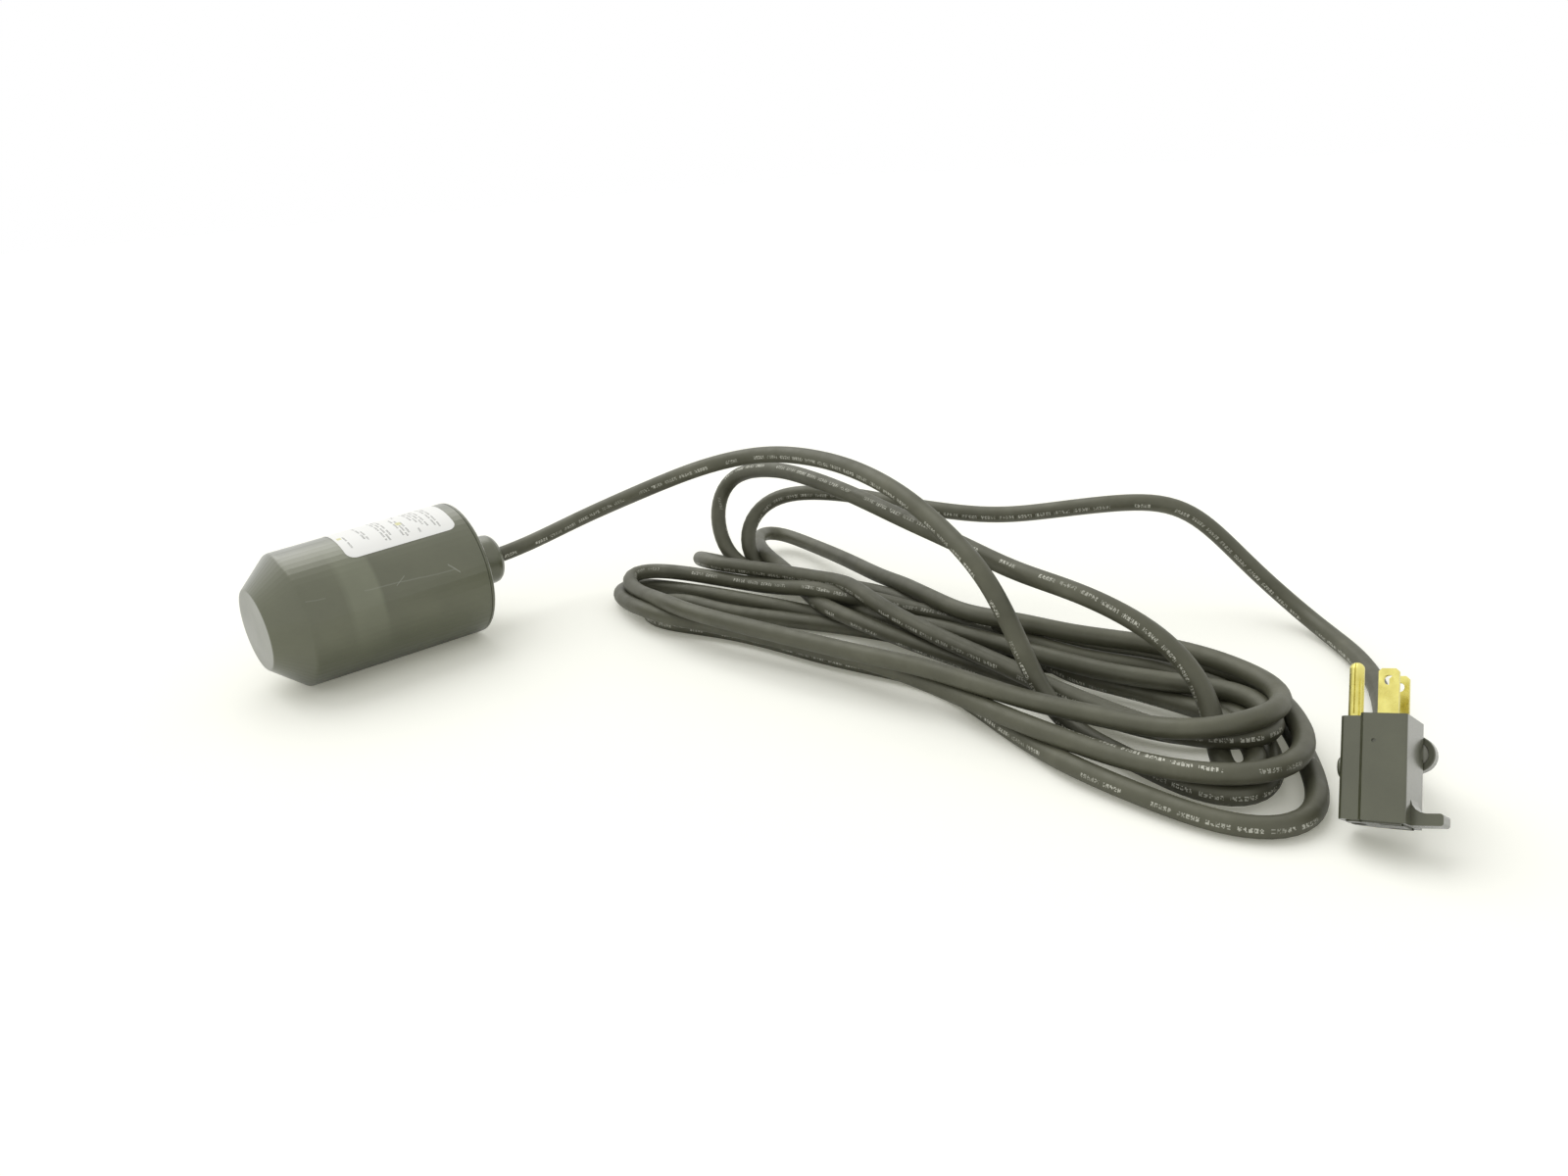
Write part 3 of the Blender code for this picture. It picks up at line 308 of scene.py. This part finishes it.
                   ((135, -361, 4.5), -80), ((182, -393.5, 4.5), -75), ((199, -247, 9), 60),
                   ((124, -131, 8), -90), ((182, -391, 13), -90), ((182, -189, 15), 60),
                   ((128, -30.5, 15), 50), ((130, -168.5, 12), 200), ((209, -361, 21.5), 200),
                   ((170, -323, 4.5), 200), ((171, -116, 10), 200), ((160, -154, 18), 275),
                   ((189, -376.5, 12.5), 290), ((176, -52, 41), 315), ((169, -297.5, 57), 318),
                   ((198, -374, 5), 300), ((203, -76, 49.5), 265), ((304, -291, 39.5), 262)],
}

plugPlace = {
    "place": (0.1765, -0.4192, 0.0386),
    "turn": (-16.7, 33.0, -0.4),
    "reliefBase": (0.0105, -0.004, -0.010),
    "reliefLength": 0.0245,
    "reliefBend": 0.038,
    "cableOut": (0.0345, 0.0295, 0.0245, 0.0195, 0.0145, 0.0095, 0.0045, 0.0006),  # the cable's last points
}


def inPlug(point):
    turn = Euler(radians(plugPlace["turn"])).to_matrix()
    return Vector(plugPlace["place"]) + turn @ Vector(point)


def reliefPoint(out):
    radius = plugPlace["reliefBend"]
    bend = min(out, plugPlace["reliefLength"]) / radius
    past = max(out - plugPlace["reliefLength"], 0)
    way = Vector((radius * math.sin(bend) + past * math.cos(bend),
                  radius * (1 - math.cos(bend)) + past * math.sin(bend), 0))
    return inPlug(Vector(plugPlace["reliefBase"]) + way)


def evenly(points, step):
    # points a step apart on one smooth curve through those given
    p = np.array([2 * points[0] - points[1], *points, 2 * points[-1] - points[-2]])
    fineSteps = 24  # from each point given to the next
    t = np.linspace(0, 1, fineSteps, endpoint=False)[:, None]
    fine = [0.5 * (2 * b + (c - a) * t + (2 * a - 5 * b + 4 * c - d) * t ** 2
                   + (3 * b - a - 3 * c + d) * t ** 3) for a, b, c, d in zip(p, p[1:], p[2:], p[3:])]
    fine = np.vstack([*fine, p[-2]])
    reach = np.concatenate([[0], np.cumsum(np.linalg.norm(np.diff(fine, axis=0), axis=1))])
    want = np.linspace(0, reach[-1], max(2, round(reach[-1] / step)) + 1)
    return np.stack([np.interp(want, reach, fine[:, k]) for k in range(3)], 1), reach[-1]


def evenOut(values, share):
    # each value but the ends takes a share of both its neighbours
    values[1:-1] = (1 - 2 * share) * values[1:-1] + share * (values[:-2] + values[2:])


def soften(route, rounds):
    # takes the kinks out, with both ends left as they are
    now = route.copy()
    for _ in range(rounds):
        evenOut(now[1:-1], cable["softShare"])
    return now


def closePairs(points, width):
    # places on different strands that are near enough to meet
    gap = np.linalg.norm(points[:, None] - points[None], axis=2)
    past = int(cable["lookPast"] * width / cable["spacing"])
    return np.where(np.triu(gap < cable["lookWithin"] * width, past))


def givingWay(first, second, push, meet, held):
    # what each place moves, pushed by all that it meets, by each of them less where they are many
    move, hits = np.zeros((len(held), push.shape[1])), np.ones((len(held), 1))
    np.add.at(move, first, -push)
    np.add.at(move, second, push)
    np.add.at(hits, first, meet[:, None])
    np.add.at(hits, second, meet[:, None])
    return held[:, None] * move / np.sqrt(hits)


def settle(route, held, width, floor):
    # strands that meet part along the camera's line of sight, so that each keeps its place in the picture
    settling = cable["settling"]
    width = width + settling["gap"]
    sight = np.array(camera["place"]) * mm - route
    sight /= np.linalg.norm(sight, axis=1)[:, None]
    lowest = (floor - route[:, 2]) / sight[:, 2]
    shift = np.maximum(np.zeros(len(route)), lowest)
    for step in range(settling["rounds"]):
        now = route + shift[:, None] * sight
        if step % cable["lookEvery"] == 0:
            first, second = closePairs(now, width)
        line = now[second] - now[first]
        along = (line * sight[first]).sum(1)
        across = (line ** 2).sum(1) - along ** 2
        short = np.sqrt(np.clip(width ** 2 - across, 0, None)) - np.abs(along)
        push = settling["push"] * np.clip(short, 0, None) * np.where(along < 0, -1, 1)
        shift += givingWay(first, second, push[:, None], short > 0, held)[:, 0]
        evenOut(shift, settling["evening"])
        shift = np.maximum(shift * np.minimum(1, held + settling["fading"]), lowest)
    return route + shift[:, None] * sight


def relax(route, held, width, floor):
    # strands that still meet part in any direction, and tight bends open
    relaxing = cable["relaxing"]
    most = cable["spacing"] ** 2 / (2 * cable["wideBend"])
    now = route.copy()
    for step in range(relaxing["rounds"]):
        if step % cable["lookEvery"] == 0:
            first, second = closePairs(now, width)
        line = now[second] - now[first]
        gap = np.linalg.norm(line, axis=1)
        push = (relaxing["push"] * np.clip(width / gap - 1, 0, None))[:, None] * line
        now += givingWay(first, second, push, gap < width, held)
        bend = now[1:-1] - 0.5 * (now[:-2] + now[2:])
        bend *= np.clip(1 - most / np.linalg.norm(bend, axis=1), 0, None)[:, None] * held[1:-1, None]
        now[1:-1] -= relaxing["opening"] * bend
        now[:-2] += 0.5 * relaxing["opening"] * bend
        now[2:] += 0.5 * relaxing["opening"] * bend
        shift = now - route
        evenOut(shift, relaxing["evening"])
        now = route + shift
        now[:, 2] = np.maximum(now[:, 2], floor)
    return now


def cableRoute():
    start = [np.array(cable[k]) * mm for k in ("inside", "exit")]
    last = [cable[k] for k in ("standingTurn", "lastTurn", "lastArch")]
    parts = [cable["firstArch"], *cable["turns"], *last]
    end = [np.array(reliefPoint(out)) * mm for out in plugPlace["cableOut"]]
    points = [*start, *[np.array(p, float) for part in parts for p in part], *end]
    route, reach = evenly(points, cable["spacing"])
    along = np.linspace(0, reach, len(route))
    stiff, over = cable["heldFor"], cable["freeAfter"]
    held = np.clip((along - stiff) / over, 0, 1) * np.clip((reach - stiff - along) / over, 0, 1)
    width = cable["diameter"] * mm
    floor = width / 2 + cable["overBench"]
    route = settle(soften(route, cable["softening"]), held, width, floor)
    route = relax(route, held, width, floor)
    smoothed, reach = evenly(list(soften(route, cable["smoothing"])), cable["ringSpacing"])
    return smoothed / mm, reach / mm


def ringFrames(path):
    # rings carried along the path without twist
    ahead = np.gradient(path, axis=0)
    ahead /= np.linalg.norm(ahead, axis=1)[:, None]
    up = Vector((0, 0, 1))
    frames = []
    for place, way in zip(path, ahead):
        way = Vector(way)
        up = (up - way * up.dot(way)).normalized()
        frames.append((Vector(place), way.cross(up), up.copy()))
    return frames


def printTurn(path):
    # how far round each ring the line of print lies, in whole turns
    top = np.unwrap([math.atan2(lift.z, side.z) for _, side, lift in ringFrames(path)]) / (2 * math.pi)
    where, degrees = [], []
    for point, angle in cable["printFaces"]:
        where.append(int(np.argmin(np.linalg.norm(path * mm - np.array(point), axis=1))))
        degrees.append(angle)
    order = np.argsort(where)
    faces = np.interp(np.arange(len(path)), np.array(where)[order], np.array(degrees, float)[order])
    return top + faces / 360


def tubeMesh(path, radius, sides):
    points, frames = [], ringFrames(path)
    for centre, side, lift in frames:
        for k in range(sides):
            turn = 2 * math.pi * k / sides
            points.append(centre + radius * (math.cos(turn) * side + math.sin(turn) * lift))
    faces = []
    for i in range(len(frames) - 1):
        for k in range(sides):
            a, b = i * sides + k, i * sides + (k + 1) % sides
            faces.append((a, a + sides, b + sides, b))
    last = (len(frames) - 1) * sides
    faces.append(tuple(range(sides)))
    faces.append(tuple(last + k for k in reversed(range(sides))))
    return points, faces


def layUv(mesh, step, turned):
    # metres along the cable, and turns round it from the line of print
    sides = cable["sides"]
    uv = []
    for face in mesh.polygons:
        if len(face.vertices) == sides:  # a cut end
            uv += [(0.0, 0.0)] * sides
            continue
        seam = face.vertices[0] % sides == sides - 1
        for vertex in face.vertices:
            ring, k = divmod(vertex, sides)
            k = sides if seam and k == 0 else k
            uv.append((ring * step, k / sides - turned[ring]))
    layer = mesh.uv_layers.new(name="alongCable")
    layer.data.foreach_set("uv", np.array(uv, np.float32).ravel())


def makeCable(material):
    path, reach = cableRoute()
    points, faces = tubeMesh(path, cable["diameter"] / 2, cable["sides"])
    made = addMesh("cable", points, faces, material)
    layUv(made.data, reach / (len(path) - 1), printTurn(path))
    made.data.set_sharp_from_angle(angle=math.radians(cable["sharpFrom"]))
    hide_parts("cable_lead", "cable_loop", "cable_tail", "cable_hank")
    print("cable, %.2f m" % reach)


cableFinish = {
    "sockets": {"Base Color": (0.04, 0.036, 0.03), "Roughness": 0.62,
                "Specular IOR Level": 0.75, "Specular Tint": (1, 1, 0.88)},
    "tintNoise": (38, 4),  # scale and detail
    "tints": [(0.3, (0.052, 0.052, 0.031)), (0.55, (0.076, 0.076, 0.048)), (0.75, (0.112, 0.111, 0.074))],
    "glossNoise": (120, 3),
    "roughness": (0.42, 0.58),
    "grainNoise": (900, 3),
    "grainDepth": (0.2, 0.0003),  # strength, and metres
}

cablePrint = {
    "height": 0.0017,
    "marks": {"grain": 0.00042, "letter": 0.0016, "word": 0.0095, "open": 0.38},
    "colour": (0.56, 0.56, 0.48),
    "wearNoise": (90, 2),
    "wearFrom": (0.35, 0.6),
    "strength": (0.35, 0.95),
}

rhythm = {
    "letter": 0.74,  # the share of a letter's place that has print
    "word": 0.8,
    "lost": 0.15,  # the share of words that are worn away
}


def smallMarks(tree, along, across, sizes):
    # worn print that has the rhythm of words and no letters
    grain = addNode(tree, "ShaderNodeCombineXYZ", X=stepped(tree, along, sizes["grain"]),
                    Y=stepped(tree, across, sizes["grain"]))
    dots = addNode(tree, "ShaderNodeTexWhiteNoise", {"noise_dimensions": "2D"}, Vector=grain.outputs[0])
    letters = maths(tree, "FRACT", maths(tree, "DIVIDE", along, sizes["letter"]))
    words = maths(tree, "FRACT", maths(tree, "DIVIDE", along, sizes["word"]))
    kept = addNode(tree, "ShaderNodeTexWhiteNoise", {"noise_dimensions": "1D"},
                   W=stepped(tree, along, sizes["word"]))
    return product(tree, maths(tree, "GREATER_THAN", dots.outputs["Value"], sizes["open"]),
                   maths(tree, "LESS_THAN", letters, rhythm["letter"]),
                   maths(tree, "LESS_THAN", words, rhythm["word"]),
                   maths(tree, "GREATER_THAN", kept.outputs["Value"], rhythm["lost"]))


def cableMaterial():
    made, tree, shader, where, tint = newFinish("cableRubber", cableFinish)
    onCable = uvParts(tree, "alongCable")
    half = 0.5  # a turn, so that the line of print is in the middle
    turn = maths(tree, "SUBTRACT", maths(tree, "FRACT", maths(tree, "ADD", onCable[1], half)), half)
    across = maths(tree, "MULTIPLY", turn, math.pi * cable["diameter"])
    band = near(tree, across, 0, cablePrint["height"] / 2)
    wear = spread(tree, noise(tree, where, *cablePrint["wearNoise"]), *cablePrint["wearFrom"],
                  *cablePrint["strength"])
    printed = product(tree, band, smallMarks(tree, onCable[0], across, cablePrint["marks"]), wear)
    feed(tree, shader.inputs["Base Color"], mixColour(tree, printed, tint, cablePrint["colour"]))
    return made


floatSizes = {
    "shoulderX": -0.04835,
    "rimX": 0.04395,
    "radius": 0.0354,
    "shoulderRadius": 0.0337,
    "axisZ": 0.0354,
}

floatFinish = {
    "sockets": {"Base Color": (0.045, 0.046, 0.042), "Roughness": 0.34, "Specular IOR Level": 0.8,
                "Specular Tint": (1, 1, 0.8), "Coat Weight": 1.0, "Coat Roughness": 0.30},
    "tintNoise": (25, 5),
    "tints": [(0.3, (0.052, 0.058, 0.026)), (0.7, (0.086, 0.094, 0.048))],
    "glossNoise": (60, 4),
    "roughness": (0.28, 0.40),
    "grainNoise": (700, 4),
    "grainDepth": (0.10, 0.0003),
}

# a lighter band painted round the float, facing the camera: a painted reflection of a bright light
paintedReflectionBand = {
    "colour": (0.148, 0.162, 0.100),
    "rises": (-0.0305, -0.0270),  # x, over which it comes in
    "falls": (-0.0137, -0.0117),  # and over which it goes out
    "turn": 150,  # degrees from +Y, up and over towards the camera
    "fades": (15, 60),  # degrees from there
    "noise": (40, 3),
    "strength": (0.45, 0.75),
}

scratches = {
    # from x and degrees to x and degrees, with the width and how plain it is
    "lines": [(-0.020, 155, 0.026, 160, 0.00045, 0.25), (-0.0048, 159, 0.0004, 153, 0.0003, 0.5),
              (0.0227, 154.5, 0.0276, 163.6, 0.0004, 0.7), (-0.047, 150, -0.038, 152, 0.0004, 0.2)],
    "colour": (0.27, 0.28, 0.24),
    "core": 0.3,  # the share of the width that is full
    "wobbleNoise": (90, 2),
    "wobble": 2.5,  # degrees
}


# the mask of the painted reflection: strongest at its turn towards the camera, fading round the float and
# at both ends
def paintedReflectionRing(tree, where, x, degrees):
    apart = maths(tree, "PINGPONG", maths(tree, "SUBTRACT", degrees, paintedReflectionBand["turn"]), 180)
    return product(tree, spread(tree, x, *paintedReflectionBand["rises"], 0.0, 1.0),
                   spread(tree, x, *paintedReflectionBand["falls"], 1.0, 0.0),
                   spread(tree, apart, *paintedReflectionBand["fades"], 1.0, 0.0),
                   uneven(tree, where, *paintedReflectionBand["noise"], *paintedReflectionBand["strength"]))


def scratchMark(tree, where, x, degrees, fromX, fromTurn, toX, toTurn, width, plain):
    slope = (toTurn - fromTurn) / (toX - fromX)
    line = maths(tree, "ADD", maths(tree, "MULTIPLY", maths(tree, "SUBTRACT", x, fromX), slope), fromTurn)
    uneasy = maths(tree, "SUBTRACT", noise(tree, where, *scratches["wobbleNoise"]), 0.5)
    wobble = maths(tree, "MULTIPLY", uneasy, scratches["wobble"])
    apart = maths(tree, "ABSOLUTE", maths(tree, "ADD", maths(tree, "SUBTRACT", degrees, line), wobble))
    radius = floatSizes["radius"]
    halfWidth = math.degrees(width / radius) * math.hypot(1, math.radians(slope) * radius)
    return product(tree, spread(tree, apart, halfWidth * scratches["core"], halfWidth, 1.0, 0.0),
                   between(tree, x, fromX, toX), plain)


def floatMaterial():
    made, tree, shader, where, tint = newFinish("floatPlastic", floatFinish)
    x, y, z = addNode(tree, "ShaderNodeSeparateXYZ", Vector=where).outputs
    turn = maths(tree, "ARCTAN2", maths(tree, "SUBTRACT", z, floatSizes["axisZ"]), y)
    degrees = maths(tree, "MULTIPLY", turn, 180 / math.pi)
    # the painted reflection, a lighter band laid over the float's colour
    tint = mixColour(tree, paintedReflectionRing(tree, where, x, degrees), tint, paintedReflectionBand["colour"])
    for line in scratches["lines"]:
        tint = mixColour(tree, scratchMark(tree, where, x, degrees, *line), tint, scratches["colour"])
    feed(tree, shader.inputs["Base Color"], tint)
    return made


label = {
    "fromX": -0.0203,
    "toX": 0.0360,
    "fromTurn": 126,  # degrees from +Y, up and over towards the camera
    "toTurn": 66,
    "corner": 0.0045,
    "lift": 0.00012,
    "cornerSteps": 8,
    "middleSteps": 28,
    "rows": 28,
    "paper": (0.93, 0.93, 0.89),
    "roughness": 0.5,
    "ink": (0.20, 0.20, 0.18),
    "inkStrength": 0.78,
    # each line of print: how far along the label, and from where to where across it, in mm
    "lines": [(4.6, 5, 18), (12.6, 4, 27), (14.0, 9, 20), (21.2, 5, 30), (22.9, 4, 31), (24.6, 8, 31),
              (30.0, 5, 31), (31.7, 4, 24), (33.4, 6, 31), (38.6, 4, 31), (40.3, 5, 31), (42.0, 4, 31),
              (43.7, 7, 31), (47.2, 5, 31), (48.9, 4, 29)],
    "lineHeight": 0.95,
    "lineStep": 1.7,
    "lineShift": 3.1,  # each line starts its words elsewhere
    "marks": {"grain": 0.30, "letter": 0.95, "word": 6.4, "open": 0.10},
    "patches": [(2.5, 17, 2.2, 2.2), (32.0, 15.5, 2.6, 3.0)],  # plain spots of colour
    "patchColour": (0.72, 0.70, 0.30),
    "patchStrength": 0.8,
}


def labelMaterial():
    sockets = {"Base Color": label["paper"], "Roughness": label["roughness"]}
    made, tree, shader = newMaterial("labelPaper", sockets)
    onLabel = uvParts(tree, "onLabel")
    along, across = onLabel[0], onLabel[1]  # mm
    lines = 0.0
    for middle, low, high in label["lines"]:
        line = near(tree, along, middle, label["lineHeight"] / 2)
        line = product(tree, line, between(tree, across, low, high))
        lines = maths(tree, "MAXIMUM", lines, line)
    shift = maths(tree, "MULTIPLY", stepped(tree, along, label["lineStep"]), label["lineShift"])
    shifted = maths(tree, "ADD", across, shift)
    marks = product(tree, lines, smallMarks(tree, shifted, along, label["marks"]), label["inkStrength"])
    colour = mixColour(tree, marks, label["paper"], label["ink"])
    for middleX, middleY, wide, high in label["patches"]:
        spot = product(tree, near(tree, along, middleX, wide / 2), near(tree, across, middleY, high / 2),
                       label["patchStrength"])
        colour = mixColour(tree, spot, colour, label["patchColour"])
    feed(tree, shader.inputs["Base Color"], colour)
    return made


def labelPlaces(length, corner):
    # how far along the label each row of points lies, closer together at the round corners
    steps, middle = label["cornerSteps"], label["middleSteps"]
    ends = [corner * (1 - math.cos(math.pi / 2 * k / steps)) for k in range(steps + 1)]
    straight = [corner + (length - 2 * corner) * k / middle for k in range(1, middle)]
    return [*ends, *straight, *(length - e for e in reversed(ends))]


def floatRadius(x):
    share = (floatSizes["rimX"] - x) / (floatSizes["rimX"] - floatSizes["shoulderX"])
    return floatSizes["radius"] + (floatSizes["shoulderRadius"] - floatSizes["radius"]) * share


def makeLabel():
    length, corner, rows = label["toX"] - label["fromX"], label["corner"], label["rows"]
    places = labelPlaces(length, corner)
    points, uv, faces = [], [], []
    for out in places:
        x = label["fromX"] + out
        radius = floatRadius(x) + label["lift"]
        width = radius * math.radians(label["fromTurn"] - label["toTurn"])
        toEnd = min(out, length - out, corner)
        inset = corner - math.sqrt(max(0, corner ** 2 - (corner - toEnd) ** 2))
        for j in range(rows + 1):
            across = inset + (width - 2 * inset) * j / rows
            turn = math.radians(label["fromTurn"]) - across / radius
            points.append((x, radius * math.cos(turn), floatSizes["axisZ"] + radius * math.sin(turn)))
            uv.append((out * mm, across * mm))
    for i in range(len(places) - 1):
        for j in range(rows):
            a = i * (rows + 1) + j
            faces.append((a, a + 1, a + rows + 2, a + rows + 1))
    made = addMesh("label", points, faces, labelMaterial())
    layer = made.data.uv_layers.new(name="onLabel")
    for face in made.data.polygons:
        for at, vertex in zip(face.loop_indices, face.vertices):
            layer.data[at].uv = uv[vertex]
    print("label")


plugFinish = {
    "sockets": {"Base Color": (0.045, 0.045, 0.04), "Roughness": 0.36, "Specular IOR Level": 0.8,
                "Specular Tint": (1, 1, 0.8), "Coat Weight": 1.0, "Coat Roughness": 0.18},
    "tintNoise": (60, 4),
    "tints": [(0.3, (0.034, 0.037, 0.016)), (0.7, (0.052, 0.056, 0.028))],
    "grainNoise": (1400, 3),
    "grainDepth": (0.2, 0.0002),
}

brassFinish = {
    "sockets": {"Base Color": (0.64, 0.54, 0.11), "Roughness": 0.28, "Metallic": 1.0},
    "tintNoise": (160, 4),
    "tints": [(0.3, (0.64, 0.56, 0.15)), (0.7, (0.86, 0.79, 0.26))],
    "glossNoise": (300, 3),
    "roughness": (0.2, 0.38),
}

insideFinishes = [
    # name, colour, roughness, scale of the mottling, how metallic, and the nodes that have it
    ("steel", (0.6, 0.6, 0.6), 0.25, 200, 1.0,
     ["steel_ball", "actuator_lever", "lever_pin", "switch_pin_lower", "switch_pin_upper"]),
    ("carrierPlastic", (0.55, 0.54, 0.5), 0.5, 90, 0.0, ["switch_carrier", "switch_button"]),
    ("switchPlastic", (0.03, 0.03, 0.035), 0.45, 150, 0.0, ["switch_case", "switch_cover"]),
    ("sealRubber", (0.035, 0.033, 0.03), 0.7, 120, 0.0, ["cable_seal"]),
    ("pottingResin", (0.09, 0.07, 0.05), 0.3, 60, 0.0, ["potting"]),
    ("blackCore", (0.02, 0.02, 0.02), 0.5, 150, 0.0, ["core_black"]),
    ("whiteCore", (0.75, 0.74, 0.7), 0.5, 150, 0.0, ["core_white"]),
]

mottling = {
    "dark": 0.85,  # times the colour
    "light": 1.12,
    "detail": 3,
    "grain": 6,  # times the mottling's scale
    "grainDetail": 2,
    "grainDepth": (0.1, 0.0002),
}


def insideMaterial(name, base, roughness, scale, metallic):
    dark = tuple(c * mottling["dark"] for c in base)
    light = tuple(min(1, c * mottling["light"]) for c in base)
    finish = {
        "sockets": {"Base Color": base, "Roughness": roughness, "Metallic": metallic},
        "tintNoise": (scale, mottling["detail"]),
        "tints": [(noiseRange[0], dark), (noiseRange[1], light)],
        "grainNoise": (scale * mottling["grain"], mottling["grainDetail"]),
        "grainDepth": mottling["grainDepth"],
    }
    return newFinish(name, finish)[0]


def dressNodes():
    dress(["float_shell", "end_cap"], floatMaterial())
    dress(["plug_body", "receptacle_plate", "plug_strain_relief"], newFinish("plugPlastic", plugFinish)[0])
    dress(["line_blade", "neutral_blade", "ground_pin", "line_contact", "terminal_common", "terminal_open",
           "connector_common", "connector_open"], newFinish("brass", brassFinish)[0])
    for *finish, names in insideFinishes:
        dress(names, insideMaterial(*finish))
    print("materials")


studio = {
    "benchSize": 12.0,
    "benchColour": (0.92, 0.92, 0.88),
    "benchRoughness": 0.9,
    "benchSeen": (0.94, 0.94, 0.89),  # for the camera alone, with a glow that brings the paper to white
    "benchTint": (1.0, 1.0, 0.80),
    "benchGlow": 0.16,
    "sunTurn": (34, 0, 184),
    "sunSize": 60,
    "sunPower": 1.1,
    "airColour": (1, 1, 1),
    "air": 0.70,
}


def benchMaterial():
    sockets = {"Base Color": studio["benchColour"], "Roughness": studio["benchRoughness"]}
    made, tree, shader = newMaterial("benchPaper", sockets)
    seen = tree.nodes.new("ShaderNodeLightPath").outputs["Is Camera Ray"]
    colour = mixColour(tree, seen, studio["benchColour"], studio["benchSeen"])
    feed(tree, shader.inputs["Base Color"], colour)
    glow = addNode(tree, "ShaderNodeEmission", Color=studio["benchTint"],
                   Strength=product(tree, seen, studio["benchGlow"]))
    both = tree.nodes.new("ShaderNodeAddShader")
    feed(tree, both.inputs[0], shader.outputs[0])
    feed(tree, both.inputs[1], glow.outputs[0])
    feed(tree, tree.nodes["Material Output"].inputs["Surface"], both.outputs[0])
    return made


def makeBench():
    half = studio["benchSize"] / 2
    corners = [(-half, -half, 0), (half, -half, 0), (half, half, 0), (-half, half, 0)]
    mesh = bpy.data.meshes.new("bench")
    mesh.from_pydata(corners, [], [(0, 1, 2, 3)])
    bench = addObject("bench", mesh)
    mesh.materials.append(benchMaterial())


def makeSun():
    data = bpy.data.lights.new("sun", "SUN")
    data.angle = math.radians(studio["sunSize"])
    data.energy = studio["sunPower"]
    addObject("sun", data).rotation_euler = radians(studio["sunTurn"])


def makeAir():
    world = bpy.data.worlds.new("air")
    world.use_nodes = True
    tree = world.node_tree
    background = tree.nodes["Background"]
    rays = tree.nodes.new("ShaderNodeLightPath").outputs
    seen = maths(tree, "MAXIMUM", maths(tree, "MAXIMUM", rays["Is Camera Ray"], rays["Is Glossy Ray"]),
                 rays["Is Transmission Ray"])
    feed(tree, background.inputs["Strength"], spread(tree, seen, 0.0, 1.0, studio["air"], 1.0))
    feed(tree, background.inputs["Color"], studio["airColour"])
    bpy.context.scene.world = world


def makeStudio():
    makeBench()
    makeSun()
    makeAir()
    bpy.context.scene.view_settings.view_transform = "Standard"
    print("studio")


makeCamera()
makeStudio()
dressNodes()
makeCable(cableMaterial())
makeLabel()
